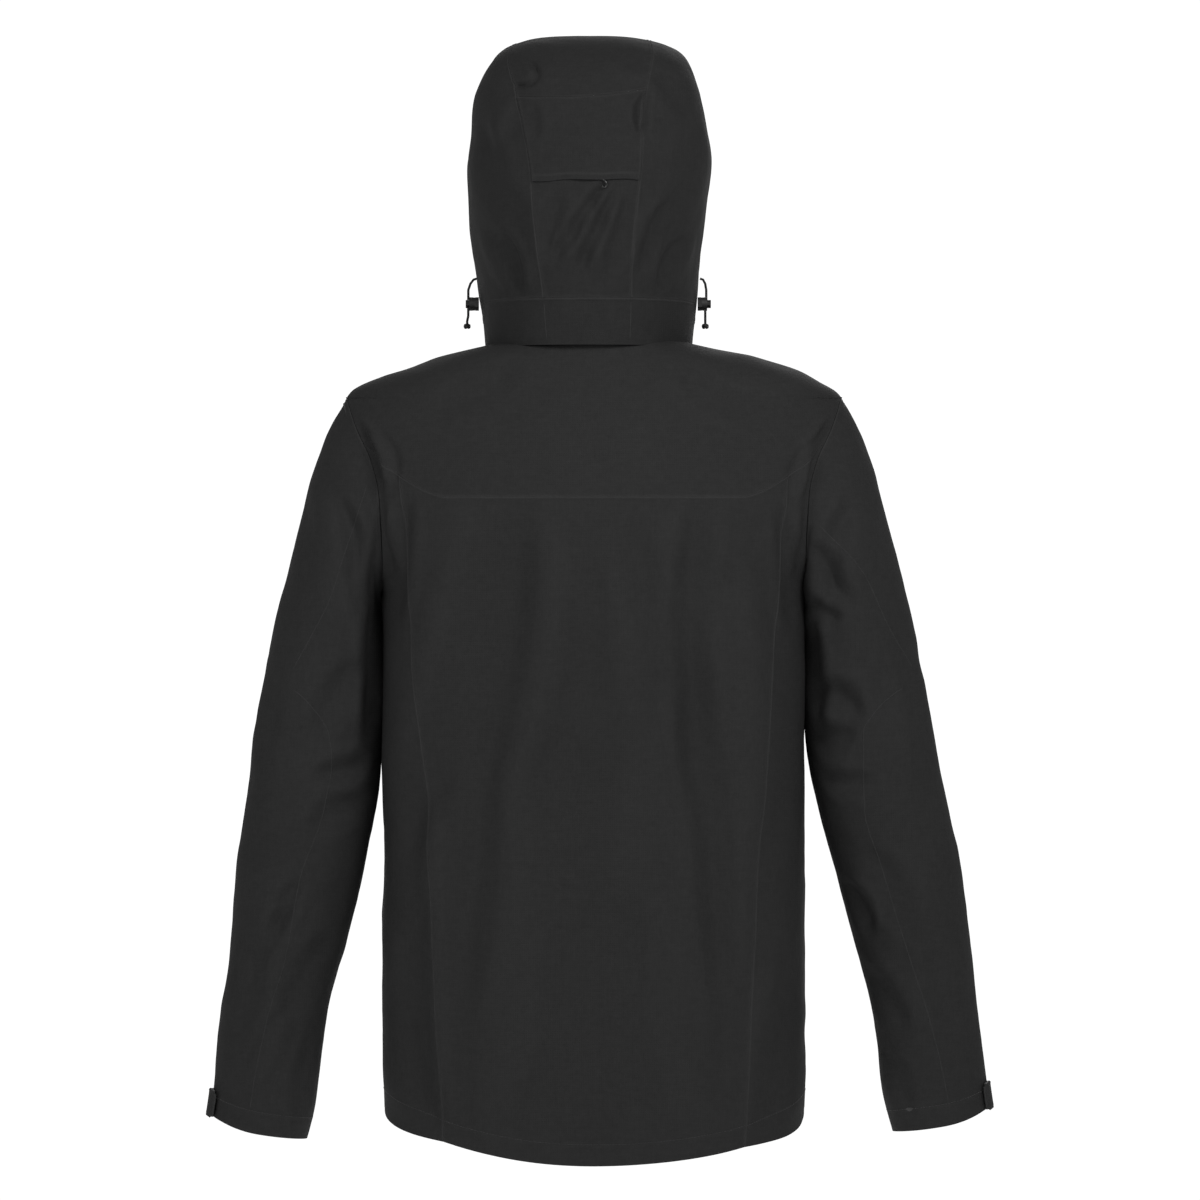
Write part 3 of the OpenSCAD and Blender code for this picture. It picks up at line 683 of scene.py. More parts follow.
# ---------------------------------------------------------------- sleeves, by station s from armhole to cuff
out_x = Track(*enumerate((236, 250, 267, 279, 291, 304, 314, 323, 331, 338, 345, 351, 357, 363, 367)))
out_z = Track(*enumerate((-50, -76, -120, -165, -212, -265, -318, -366, -423, -480, -546, -603, -641,
                          -698, -725)))
in_x = Track(*enumerate((202, 200, 198.5, 198, 198, 198, 198.6, 202.5, 209, 220, 236, 251, 258, 266, 274)))
in_z = Track(*enumerate((-235, -262, -285, -303, -318, -331, -343, -388, -445, -502, -566, -620, -658,
                         -714, -741)))
arm_d = Track(*enumerate((70, 71, 70, 68, 66, 63, 60, 59, 58, 56, 53, 50, 49, 47, 46)))
arm_cy = Track((0, -88), (4, -90), (6, -92), (8, -95), (10, -103), (12, -112), (14, -120))
SPLIT = 6.05                     # station where the upper and lower pieces meet
CUFF = 14                        # station of the cuff's edge


def plain_ring(s, q, off):
    ox, oz, ix, iz = out_x(s), out_z(s), in_x(s), in_z(s)
    k = 1 - 2 * off / np.hypot(ox - ix, oz - iz)
    c, sn = cos_sin(q)
    dip = smooth((s - 12) / 2) * (10 * sn * sn + 8 * np.minimum(0, c) ** 2)
    return np.stack([(ox + ix) / 2 + k * (ox - ix) / 2 * c, arm_cy(s) + (arm_d(s) - off) * sn,
                     (oz + iz) / 2 + k * (oz - iz) / 2 * c - dip], -1)


def arm_edge(q):
    c, sn = cos_sin(q)
    z = ARM_MID + ARM_HALF * c
    y = mid_y(z) + ARM_DEPTH * sn
    return np.stack([arm_x(z) + 0.6, y, z - low_k(z) * drop_at(y)], -1)


def sleeve_pt(s, q, off=0.0):
    near = np.maximum(0, 1 - s / 3) ** 2
    return plain_ring(s, q, off) + near[..., None] * (arm_edge(q) - plain_ring(np.zeros_like(s), q, 0.0))


ARM_FOLDS = {"left": [
    (206, -190, 213, -372, 9, -4.2, -3),
    (238, -150, 222, -262, 9, -2.4, -7),
    (262, -140, 250, -238, 12, 1.6, -5),
    (222, -300, 262, -372, 12, -2.0, 5),
    (300, -300, 318, -400, 12, -1.6, 5),
    (214, -392, 262, -405, 10, -2.6, -5),
    (216, -430, 268, -462, 12, -1.8, 5),
    (279, -508, 303, -556, 8, -2.2, 3),
    (284, -532, 315, -584, 8, -1.8, 3),
    (250, -560, 292, -640, 12, -1.6, 5),
    (322, -560, 340, -660, 11, -1.8, -4),
    (290, -640, 322, -700, 9, 1.6, 3),
    (268, -660, 282, -735, 8, -1.6, 2),
], "right": [
    (-208, -190, -242, -246, 11, -3.4, 4),
    (-206, -242, -232, -262, 9, -2.6, 2),
    (-206, -262, -214, -360, 8, -3.0, 3),
    (-240, -150, -224, -250, 10, -2.0, 6),
    (-208, -322, -252, -352, 12, -2.8, -4),
    (-204, -372, -246, -366, 12, -2.0, 3),
    (-215, -410, -262, -412, 9, -1.8, 4),
    (-300, -300, -318, -410, 12, -1.6, -5),
    (-234, -508, -262, -558, 8, -3.0, -4),
    (-262, -480, -300, -560, 13, -1.6, -5),
    (-250, -590, -296, -650, 10, -1.8, -4),
    (-322, -560, -345, -660, 11, -1.6, 4),
    (-275, -665, -300, -732, 9, -1.5, -2),
]}


def arm_relief(side, at_armhole=False):
    def relief(p, v):
        x, y, z = p[..., 0], p[..., 1], p[..., 2]
        centre = -92 - 28 * smooth((-430 - z) / 300)
        back = smooth((y - centre - 4) / 34)
        front = smooth((centre - 4 - y) / 34)
        folds = back * fold_sum(ARM_FOLDS[side], x, z) + front * 0.8 * fold_sum(ARM_FOLDS[side], x, z - 14)
        total = FOLD_GAIN * folds + crumples(p, (60.0, 1.5, 15), (24.0, 0.55, 19), (10.0, 0.12, 4))
        hold = smooth((z + 752) / 14) * 0.85 + 0.15       # the cuff's edge is stiff
        return total * hold * (smooth((1 - v) * SPLIT / 0.45) if at_armhole else 1.0)
    return relief


def handed(p, sign):
    """The left arm's points, its cuff a little lower, or the mirrored right arm's, its forearm further out."""
    if sign > 0:
        return p - (7 * smooth((-630 - p[..., 2]) / 60))[..., None] * np.array([0.0, 0.0, 1.0])
    p = p[:, ::-1]
    return p * FLIP - (11 * smooth((-385 - p[..., 2]) / 130))[..., None] * np.array([1.0, 0.0, 0.0])


def sleeve_surface(s0, s1, sign, off=0.0):
    return lambda u, v: handed(sleeve_pt(mix(s1, s0, v), 360 * u, off), sign)


def cuff_tone(p):
    return PALE_LINE_TONE * bell((np.linalg.norm(p - p[:1], axis=-1) - HEM_DEPTH) / 1.1)


LOWER_LENGTH = 425.0                 # of the cloth below the split
sleeves = {}


def sleeve_piece(side, sign, part, s0, s1, vs, nodes, **how):
    obj = panel(part + "_sleeve_cloth_" + side, sleeve_surface(s0, s1, sign), ring_steps(200), vs, SHELL,
                wrap=True, relief=arm_relief(side, part == "upper"), **how)
    give(obj, None, *(node + side for node in nodes))
    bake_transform(obj)
    sleeves[side, part] = obj


def armhole_tape_surface(sign):
    """Waterproof tape bonded over the armhole seam, inside."""
    def surface(u, v):
        p = arm_edge(360 * u)
        inward = unit((np.array([0, -88.0, ARM_MID]) - p) * np.array([0.0, 1.0, 1.0]))
        out = 2 * v - 1
        p = p + out[..., None] * np.array([3.5, 0, 0]) + (1.8 + 3.2 * np.maximum(0, out))[..., None] * inward
        return p if sign > 0 else p[:, ::-1] * FLIP
    return surface


upper_steps = np.linspace(0, 1, 106)
lower_steps = np.append(np.array([0, 0.6, 1.4, 2.6]) / LOWER_LENGTH, np.linspace(4.2 / LOWER_LENGTH, 1, 160))
for side, sign in SIDES:
    sleeve_piece(side, sign, "upper", 0, SPLIT, upper_steps, ("sleeve_head_", "upper_sleeve_"), seams="t")
    sleeve_piece(side, sign, "lower", SPLIT, CUFF, lower_steps, ("elbow_", "forearm_"), tone=cuff_tone)
for side, sign in SIDES:
    give(panel("armhole_tape_" + side, armhole_tape_surface(sign), ring_steps(120), np.linspace(1, 0, 9), TAPE,
               thick=0.4, wrap=True), "shell")

# ---------------------------------------------------------------- hood, by t from neck to brim and angle q
HOOD_T = (0, 0.12, 0.25, 0.38, 0.5, 0.6, 0.66, 0.72, 0.78, 0.84, 0.9, 0.95, 1)
hc_y, hc_z, he_y, he_z = (Track(*zip(HOOD_T, row)) for row in (
    (9, 17, 27, 32, 29, 18, 8, -8, -32, -62, -100, -150, -205),
    (0, 43, 90, 138, 186, 226, 248, 267, 282, 291, 295, 291, 277),
    (-150, -158, -168, -176, -182, -186, -188, -190, -192, -194, -197, -201, -207),
    (0, 41, 80, 125, 165, 192, 205, 216, 226, 234, 241, 247, 252)))
hood_w = Track((-16, 98), (0, 98.1), (18, 99), (43, 102), (71, 106), (109, 111), (138, 114), (171, 117),
               (206, 112), (231, 106), (259, 94), (270, 86), (283, 73))
hood_seam = Track((0, 39.5), (0.12, 41.2), (0.42, 51), (0.635, 61), (0.755, 68), (0.9, 64), (1, 62))
seam_skew = Track((0, 0.5), (0.12, 0.7), (0.42, 3), (0.635, 8.6), (0.755, 9), (1, 6))    # both seams lean left
hood_lean = Track((-30, 4.5), (0, 5.2), (40, HOOD_LEAN), (90, 7.0), (200, 3.4), (300, 4.0))
HOOD_LIFT = -1.4
T_BAND, T_CROSS, T_BRIM = 0.12, 0.635, 0.93


def hood_n(t):
    return 2.4 + 0.45 * smooth((t - 0.6) / 0.2)


def hc(q, t):
    return power(np.cos(np.radians(q)), 2 / hood_n(t))


def hood_end(t):
    return 93 + 19 * smooth((t - 0.15) / 0.4)


def hood_half(t):
    return hood_w(mix(hc_z(t), he_z(t), 0.68))


def hood_pt(t, q):
    f = (1 - hc(q, t)) / (1 - hc(hood_end(t), t))
    y = mix(hc_y(t), he_y(t), f)
    z = mix(hc_z(t), he_z(t), f) + HOOD_LIFT * (1 - smooth(t / 0.2)) - drop_at(y) * (1 - smooth(t / 0.3))
    return np.stack([hood_half(t) * power(np.sin(np.radians(q)), 2 / hood_n(t)), y, z], -1)


def hood_ang(t, x):
    return np.degrees(np.arcsin((x / hood_half(t)) ** (hood_n(t) / 2)))


def hood_out(t, q, off):
    e = 0.004
    across = hood_pt(t, q + 1) - hood_pt(t, q - 1)
    n = np.cross(across, hood_pt(np.minimum(1, t + e), q) - hood_pt(np.maximum(0, t - e), q))
    return hood_pt(t, q) - np.asarray(off)[..., None] * unit(n)


HOOD_FOLDS = [
    (-10, 148, 37, 76, 6, -2.8, 3, 0.2),
    (-22, 146, 14, 66, 6, -2.4, 2),
    (2, 140, 30, 92, 5, 1.4, 2),
    (-72, 134, -46, 68, 7, -2.8, 4),
    (-88, 102, -63, 52, 6, -2.4, 3),
    (100, 110, 73, 50, 7, -2.6, -3),
    (86, 104, 68, 47, 6, -2.2, -2),
    (75, 231, 94, 190, 9, 1.8, 2),
    (-49, 236, -46, 198, 5, -2.0, 3),
    (58, 226, 54, 194, 6, -1.0, 1),
    (-40, 228, -43, 190, 6, -0.9, -1),
    (-30, 142, -15, 62, 8, -1.8, -3),
    (32, 140, 43, 78, 9, -1.8, 3),
    (12, 132, -4, 66, 8, 1.2, -2),
    (84, 150, 70, 62, 12, -1.6, -4),
    (-84, 150, -66, 58, 12, -1.8, 4),
    (-96, 214, -78, 130, 10, -1.8, -4),
    (98, 200, 90, 128, 10, -1.4, 3),
    (-60, 252, -86, 214, 9, -2.0, -4),
    (-20, 272, -56, 262, 8, -1.0, 2),
]


def crescent(x, z):
    """The pinched dimple at the left of the crown."""
    r = np.hypot((x - 72) / 18, (z - 257 - 0.15 * (x - 72)) / 13)
    ang = np.degrees(np.arctan2(z - 256, 70 - x))
    arc = smooth((ang + 140) / 50) * smooth((80 - ang) / 60)
    return arc * (1.2 * bell((r - 0.65) / 0.25) - 3.4 * bell((r - 1.0) / 0.2))


def hood_relief(p, v=None):
    x, y, z = p[..., 0], p[..., 1], p[..., 2]
    back = smooth((y + 75) / 50 + 0.5)
    total = back * (FOLD_GAIN * fold_sum(HOOD_FOLDS, x, z) + crescent(x, z))
    total = total + 5.0 * bell((z - 232) / 26) * smooth((x - 70) / 26)       # slack at the left of the crown
    total = total + crumples(p, (55.0, 1.1, 25), (22.0, 0.4, 29), (9.0, 0.1, 6))
    return total * (0.25 + 0.75 * smooth((z + 6) / 40))


def leaning(surface, mirror=False):
    """The surface, mirrored if asked, leaning like the hood. Its u runs backwards when it is mirrored."""
    def placed(u, v):
        p = surface(u, v)
        p = p[:, ::-1] * FLIP if mirror else p
        return p + hood_lean(p[..., 2])[..., None] * np.array([1.0, 0.0, 0.0])
    return placed


def hood_piece(name, surface, us, vs, seams, *nodes, side="", material=HOOD_SHADED_SHELL, body="hood",
               relief=hood_relief, **how):
    mirror = side == "_right"
    if mirror:
        seams = seams.translate(SWAP_SIDES)
    obj = panel(name + side, leaning(surface, mirror), us, vs, material, relief=relief, seams=seams, **how)
    return give(obj, body, *(node + side for node in nodes))


def band_surface(u, v):
    t = T_BAND * v
    return hood_pt(t, hood_end(t) * (1 - 2 * u))


def seam_ang(t, sign, inside=0.0):
    return hood_ang(t, hood_seam(t) + sign * seam_skew(t) - inside)


def between_seams(t, u):
    return hood_pt(t, mix(seam_ang(t, 1), -seam_ang(t, -1), u))


def cross_at(u):
    """The cross seam sags in the middle and ends a little higher on the wearer's right."""
    c = 1 - 2 * u
    return T_CROSS - 0.007 * c - 0.019 * (1 - c * c)


def centre_surface(u, v):
    return between_seams(mix(T_BAND, cross_at(u), v), u)


def crown_surface(u, v):
    return between_seams(mix(cross_at(u), T_BRIM, v), u)


def brim_surface(u, v):
    return between_seams(mix(T_BRIM, 1.0, v), u)


def hood_side_surface(sign):
    def surface(u, v):
        t = mix(T_BAND, 1.0, v)
        return hood_pt(t, mix(hood_end(t), seam_ang(t, sign), u))
    return surface


def seam_tape_surface(sign):
    """Waterproof tape bonded over the hood's long seams, inside."""
    def surface(u, v):
        t = mix(T_BAND + 0.004, 0.99, v)
        return hood_out(t, seam_ang(t, sign, mix(-6, 6, u)), -1.1)
    return surface


def tunnel_surface(u, v):
    t = mix(0.14, 0.99, v)
    return hood_out(t, hood_end(t) - mix(0.4, 7.5, u), -2.6)


FLAP_LOW, FLAP_HIGH = 153.0, 238.0
BACK_STATIONS = 10                   # stations of the hood's centre line that climb its back
spine = Track(*zip(hc_z.y[:BACK_STATIONS], hc_z.x[:BACK_STATIONS]))


def flap_surface(u, v):
    c = 1 - 2 * u
    top = FLAP_HIGH - 2.4 * c - 6.6 * (1 - c * c)
    low = FLAP_LOW - 0.9 * c + 0.5 * np.sin(7 * c)
    t = spine(mix(low, top, v))
    dip = 1.8 * bell((c + 0.05) / 0.2) - 0.6 * bell((c - 0.5) / 0.2)
    q = mix(seam_ang(t, 1, 1.2), -seam_ang(t, -1, 1.2), u)
    return hood_out(t, q, 1.15 + (0.5 + 0.8 * dip) * (1 - v) ** 5)


def flap_relief(p, v):
    return hood_relief(p) + crumple(p, 16.0, 0.2, 36)


def flap_tone(p):
    return 0.6 * bell((np.linalg.norm(p - p[:1], axis=-1) - 5.5) / 0.9)


CENTRE_STEPS, CROWN_STEPS = (40, 105), (44, 122)
hood_piece("hood_band_cloth", band_surface, (150, 480), (15, 44), "t", "hood_band")
hood_piece("hood_centre_cloth", centre_surface, CENTRE_STEPS, (70, 190), "lrbt", "hood_centre")
hood_piece("hood_crown_cloth", crown_surface, CROWN_STEPS, (64, 190), "lrbt", "hood_crown")
hood_piece("hood_brim_cloth", brim_surface, CROWN_STEPS, (34, 95), "lrb", "hood_brim", thick=2.4)
for side, sign in SIDES:
    hood_piece("hood_side_cloth", hood_side_surface(sign), (72, 215), (120, 330), "rb",
               "hood_side", side="_" + side)
    hood_piece("hood_seam_tape", seam_tape_surface(sign), (5, 12, (0, 0.7, 1.5)), np.linspace(0, 1, 150), "",
               side="_" + side, thick=0.4, material=TAPE)
hood_piece("hood_flap_cloth", flap_surface, (56, 106), (40, 84), "lrt", "hood_flap",
           relief=flap_relief, tone=flap_tone, body="hood_rear_flap")

# ---------------------------------------------------------------- facings, collar and hanging loop
def soft_relief(p, v=None):
    return crumples(p, (45.0, 0.5, 45), (15.0, 0.15, 46))


def light_relief(*layer):
    return lambda p, v: crumple(p, *layer)


def plain_cloth(name, surface, us, vs, node, material, body="shell", thick=0.8, relief=soft_relief, **how):
    return cloth(name, surface, us, vs, material, body, (node,), thick=thick, relief=relief, **how)


def hem_ring(a, inset, rise):
    x = body_pt(-700.0, a)[..., 0]
    z = np.where(np.abs(a) < 90, hem_z(x, BACK_TAIL), hem_z(x, FRONT_TAIL)) + rise
    q = body_pt(z, a)
    y = mid_y(z) + (q[..., 1] - mid_y(z)) * (1 - inset / half_d(z))
    return np.stack([q[..., 0] * (1 - inset / BODY_HW), y, z], -1)


COLLAR_HW = 88


def collar_pt(h, a, off):
    z = 3.4 + h
    back, front = 2 - off - 4 * h / 75, front_line(z - NECK_DROP) + off
    c, s = cos_sin(a)
    y = (back + front) / 2 + (back - front) / 2 * power(c, 2 / 2.2)
    x = (COLLAR_HW - off - 3 * h / 75) * power(s, 2 / 2.2)
    return np.stack([x, y, z - drop_at(y) * (1 - 0.12 * h / 75)], -1)


def collar_ang(x):
    return 180 - math.degrees(math.asin((x / COLLAR_HW) ** 1.1))


def loop_surface(u, v):
    s = 1 - 2 * u
    return np.stack([26 * s, -2.2 - 4.8 * s * s - 8.5 * np.cos(np.pi / 2 * s) ** 0.7, -9 + 7 * v], -1)


def chin_surface(u, v):
    s = 2 * u - 1
    z = 14 + 28 * v
    return np.stack([17 * s, front_line(z) + 7.2 + 1.2 * s * s, z + 3 * np.cos(np.pi / 2 * s)], -1)


plain_cloth("hem_facing_cloth", lambda u, v: hem_ring(172 - 344 * u, 5.5, 1 + 19 * v), (220, 1200),
            (6, 19, NARROW), "hem_facing", FACING, seams="bt")
plain_cloth("collar_cloth", lambda u, v: collar_pt(COLLAR_H * v, collar_ang(7.5) * (1 - 2 * u), 0),
            (120, 460), (16, 72), "collar", SHELL, seams="lrbt", thick=1.2)
plain_cloth("collar_lining_cloth", lambda u, v: collar_pt(4 + 64 * v, collar_ang(22) * (1 - 2 * u), 2.6),
            (100, 430), (14, 64), "collar_lining", LINING, seams="lrbt")
plain_cloth("neck_tape_cloth", lambda u, v: collar_pt(-6 + 9 * v, 150 * (1 - 2 * u), 3), (90, 380),
            (4, 9, NARROW), "neck_tape", TAPE, seams="bt", thick=0.7)
plain_cloth("hanger_loop_tape", loop_surface, np.linspace(0, 1, 50), (4, 7, (0, 0.6, 1.2)), "hanger_loop", TAPE,
            seams="bt", thick=1.1, relief=None)
plain_cloth("chin_guard_cloth", chin_surface, (14, 34), (12, 28), "chin_guard", LINING, seams="lrbt", thick=1.2)
hem_line = hem_ring(np.linspace(168, -168, 240), 4.0, 11.0)
give(tube_mesh("hem_drawcord_tube", hem_line, CORD_D / 2, CORD), "shell", "hem_drawcord")


# ---------------------------------------------------------------- main zip
def tilted(angle):
    """Axes turned about x, as rows."""
    c, s = math.cos(angle), math.sin(angle)
    return np.array([[1, 0, 0], [0, c, -s], [0, s, c]])


ZIP_LOW, ZIP_TOP = -728.0, 40.0
ZIP_TILT = math.atan(FRONT_SLOPE)
ZIP_LEN = (ZIP_TOP - ZIP_LOW) / math.cos(ZIP_TILT)
TOOTH_PITCH = 2.6
WEAVE_PITCH = 9                      # of the tape's ripple
zip_axes = tilted(ZIP_TILT)
zip_origin = np.array([0, front_line(ZIP_LOW), ZIP_LOW])


def at_zip(x, y, h):
    return zip_origin + np.stack(np.broadcast_arrays(x, y, h), -1) @ zip_axes


def zip_side(side, sign):
    def tape(u, v):
        ripple = 0.12 * np.sin(2 * np.pi * v * ZIP_LEN / WEAVE_PITCH)
        return at_zip(sign * mix(17.4, 4.4, u if sign > 0 else 1 - u), 3.2 + ripple, mix(-9, ZIP_LEN, v))
    plain_cloth("zip_tape_" + side + "_cloth", tape, (5, 13, (0, 0.7, 1.5)), np.linspace(0, 1, 260),
                "zip_tape_" + side, TAPE, seams="lr", relief=None, thick=0.7)
    start = 6 + (0 if sign > 0 else TOOTH_PITCH / 2)
    heights = start + TOOTH_PITCH * np.arange(int((ZIP_LEN - 12) / TOOTH_PITCH))
    parts = ((2.1, (1.15, 1.3, 0.55)), (0.35, (1.05, 0.95, 0.62)))        # a tooth's root and its head
    teeth = boxes_mesh("zip_teeth_" + side, [at_zip(sign * x, 2.5, h) for h in heights for x, _ in parts],
                       [half for _ in heights for _, half in parts], zip_axes, TEETH)
    give(teeth, "shell", "zip_chain_" + side)
    edge = at_zip(sign * 3.9, 3.1, np.linspace(0, ZIP_LEN, 60))
    give(tube_mesh("zip_edge_cord_" + side, edge, 0.8, TAPE), "shell")


for side, sign in SIDES:
    zip_side(side, sign)
plain_cloth("storm_flap_cloth", lambda u, v: at_zip(mix(19, -4, u), 6.3, mix(-8, ZIP_LEN - 56, v)),
            (8, 23), (200, 700), "storm_flap", FACING, seams="lr",
            relief=light_relief(30.0, 0.18, 47))

# ---------------------------------------------------------------- hand pockets
POCKET_X, POCKET_TOP, POCKET_LEN = 118.0, -450.0, 180.0
COIL_TURNS = 110


def pocket_edge(z, extra=0.0):
    return body_pt(z, 180 - ang_x(z, POCKET_X) + extra)


pk_top, pk_low = pocket_edge(POCKET_TOP), pocket_edge(POCKET_TOP - POCKET_LEN)
pk_way = pocket_edge(-540.0, 2.0) - pocket_edge(-540.0, -2.0)
pk_yaw = math.atan2(pk_way[1], pk_way[0]) + math.pi
yaw_c, yaw_s = math.cos(pk_yaw), math.sin(pk_yaw)
yaw_axes = np.array([[yaw_c, -yaw_s, 0], [yaw_s, yaw_c, 0], [0, 0, 1]])
pocket_axes = (tilted(-math.atan2(pk_top[1] - pk_low[1], POCKET_LEN)) @ yaw_axes).T
pocket_origin = np.array([pk_top[0], pk_low[1], POCKET_TOP - POCKET_LEN])
half_welt = np.array([0.35, 0.6, 1, 1.6, 2.2, 2.7, 3.2, 4.4, 6, 7.5, 8.4, 9])
across = np.concatenate([-half_welt[::-1], [0], half_welt])


def pocket_parts(side, sign):
    def at_pocket(x, y, h):
        p = pocket_origin + np.stack(np.broadcast_arrays(x, y, h), -1) @ pocket_axes
        return p * np.array([sign, 1.0, 1.0])

    def welt(u, v):
        x = sign * np.interp(u * (len(across) - 1), np.arange(len(across)), across)
        lip = smooth((3.1 - np.abs(x)) / 0.9) * smooth((np.abs(x) - 0.15) / 0.55)
        slit = smooth((0.6 - np.abs(x)) / 0.4)
        inside = smooth((v - 0.015) / 0.02) * smooth((0.975 - v) / 0.02)
        y = -1.5 - 1.15 * lip * inside + 0.7 * slit * inside + 0.15 * bell((np.abs(x) - 7.5) / 0.5)
        return at_pocket(x, y, mix(0, POCKET_LEN - 6, v))

    def bag(u, v):
        z = mix(-690.0, -440.0, v)
        q = body_pt(z, 180 - ang_x(z, mix(30, 165, u)))
        w = 11 + 8 * (1 - np.abs(2 * u - 1) ** 6) * (1 - np.abs(2 * v - 1) ** 8)
        y = mid_y(z) + (q[..., 1] - mid_y(z)) * (1 - w / half_d(z))
        return np.stack([q[..., 0] * (1 - w / 400), y, z], -1)
    cloth("pocket_welt_" + side, welt, np.linspace(0, 1, len(across)), np.linspace(0, 1, 120), SHELL, "shell",
          ("pocket_zip_" + side,), thick=0.7)
    turns = np.linspace(0, 1, 900)
    wind = 2 * np.pi * turns * COIL_TURNS
    coil = at_pocket(0.75 * np.cos(wind), -1.0 + 0.5 * np.sin(wind), mix(5, POCKET_LEN - 16, turns))
    give(tube_mesh("pocket_coil_" + side, coil, 0.22, TEETH, 5), "shell")
    plain_cloth("pocket_bag_cloth_" + side, bag, (40, 140), (60, 250), "pocket_bag_" + side,
                FACING, seams="lrbt", mirror=sign < 0)


for side, sign in SIDES:
    pocket_parts(side, sign)

# ---------------------------------------------------------------- cuffs
TAB_S0 = 12.95                       # station of the strap's upper edge
STATION = 28.0                       # length of a station near the cuff


def strap_pt(q, h, off):
    return sleeve_pt(TAB_S0 + 0.95 * h, q, -off)


def patch_surface(u, v):
    return strap_pt(mix(-35, 22, u), 0.85 - 0.7 * v, 1.6)


def tab_surface(u, v):
    e = 1 - 0.16 * (np.maximum(0, u - 0.8) / 0.2) ** 2
    return strap_pt(mix(-62, 30, u), 0.66 + (0.5 - v) * e, 3.2 + 0.6 * np.sin(np.pi * u))


def cuff_parts(side, sign):
    def on_arm(surface):
        return lambda u, v: handed(surface(u, v), sign)
    arm = "lower_arm_" + side
    give(panel("cuff_facing_cloth_" + side, sleeve_surface(13.25, 13.95, sign, 2.4), ring_steps(110),
               (6, 20, NARROW), FACING, thick=0.8, wrap=True, seams="bt"), arm, "cuff_facing_" + side)
    plain_cloth("cuff_loop_patch_" + side, on_arm(patch_surface), (20, 50), (8, 18, NARROW),
                "cuff_patch_" + side, HOOK, arm, seams="lrbt", relief=light_relief(1.6, 0.18, 48))
    plain_cloth("cuff_strap_cloth_" + side, on_arm(tab_surface), (34, 84),
                (10, 26, (0, 0.5, 1.1, 2.0)), "cuff_tab_" + side, SHELL, "cuff_strap_" + side,
                seams="lrbt", thick=1.8, relief=light_relief(14.0, 0.2, 49))


for side, sign in SIDES:
    cuff_parts(side, sign)

# ---------------------------------------------------------------- hood edging, and CAD nodes that stay
for side, sign in SIDES:
    tunnel = hood_piece("face_tunnel_cloth", tunnel_surface, (5, 8, (0, 0.7, 1.5)), (110, 420),
                        "lr", side="_" + side, thick=0.7, material=FACING,
                        relief=light_relief(20.0, 0.2, 50))
    if sign > 0:
        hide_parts("hood_face_tunnel")

PAIRS = {"pocket_slider_": ENAMEL, "pocket_pull_": PLASTIC, "cord_lock_": PLASTIC, "lock_button_": BUTTON}
KEPT_NODES = {"zip_bottom_box": PLASTIC, "zip_top_stops": PLASTIC, "main_slider": ENAMEL, "main_pull": PLASTIC,
              **{name + side: material for name, material in PAIRS.items() for side, _ in SIDES}}
for node, material in KEPT_NODES.items():
    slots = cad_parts[node].data.materials
    slots.clear()
    slots.append(material)


# ---------------------------------------------------------------- seams laid over the cloth, and stitches
def caster(*objects):
    """Finds points on the cloth straight in from the back (+Y), for places given in millimetres."""
    verts, faces = [], []
    for obj in objects:
        base = len(verts)
        verts += [v.co.copy() for v in obj.data.vertices]
        faces += [[base + k for k in poly.vertices] for poly in obj.data.polygons]
    tree = BVHTree.FromPolygons(verts, faces)

    def find(x, z):
        hit, normal, _, _ = tree.ray_cast(Vector((x * MM, 1.0, z * MM)), Vector((0, -1, 0)))
        return hit and (np.array(hit) / MM, np.array(normal if normal.y > 0 else -normal))
    return find


def run_of(pts):
    """Distance along a line of points."""
    return np.append(0, np.cumsum(np.linalg.norm(np.diff(pts, axis=0), axis=1)))


def laid_line(find, stations, step=1.6):
    """Points and normals on the cloth along a smooth line through stations (x, z)."""
    st = np.array(stations, float)
    d = run_of(st)
    fx, fz = Track(*zip(d, st[:, 0])), Track(*zip(d, st[:, 1]))
    found = [find(float(fx(s)), float(fz(s))) for s in np.linspace(0, d[-1], max(3, int(d[-1] / step)))]
    pts, normals = zip(*[f for f in found if f])
    return np.array(pts), unit(np.array(normals))


def seam_ridge(name, line, width, height):
    """A low rounded ridge of cloth where two pieces are joined."""
    pts, normals = line
    side = unit(np.cross(normals, unit(np.gradient(pts, axis=0))))
    k = len(pts)
    ends = np.minimum(1, np.minimum(np.arange(k), np.arange(k)[::-1]) / 3.0)[:, None]
    profile = [(-1.0, -0.35), (-0.62, 0.45), (0.0, 1.0), (0.62, 0.45), (1.0, -0.35), (0.0, -0.9)]
    half, sunk = width / 2 * side * (0.3 + 0.7 * ends), 0.15 * (1 - ends)
    rings = np.stack([pts + a * half + (b * height * ends - sunk) * normals for a, b in profile], 1)
    faces = [face[::-1] for face in ring_faces(k, len(profile))]
    # the ridge is in the paler seam cloth, a painted highlight
    return give(mesh_object(name, rings.reshape(-1, 3), faces, SEAM_HIGHLIGHT_CLOTH))


STITCH_PITCH, STITCH_LENGTH, STITCH_RADIUS = 3.0, 2.1, 0.26
# a stitch's rings: place along it, radius, lift
STITCH_RINGS = ((-0.5, 0.25, -0.12), (-0.3, 1.0, 0.08), (0.3, 1.0, 0.08), (0.5, 0.25, -0.12))


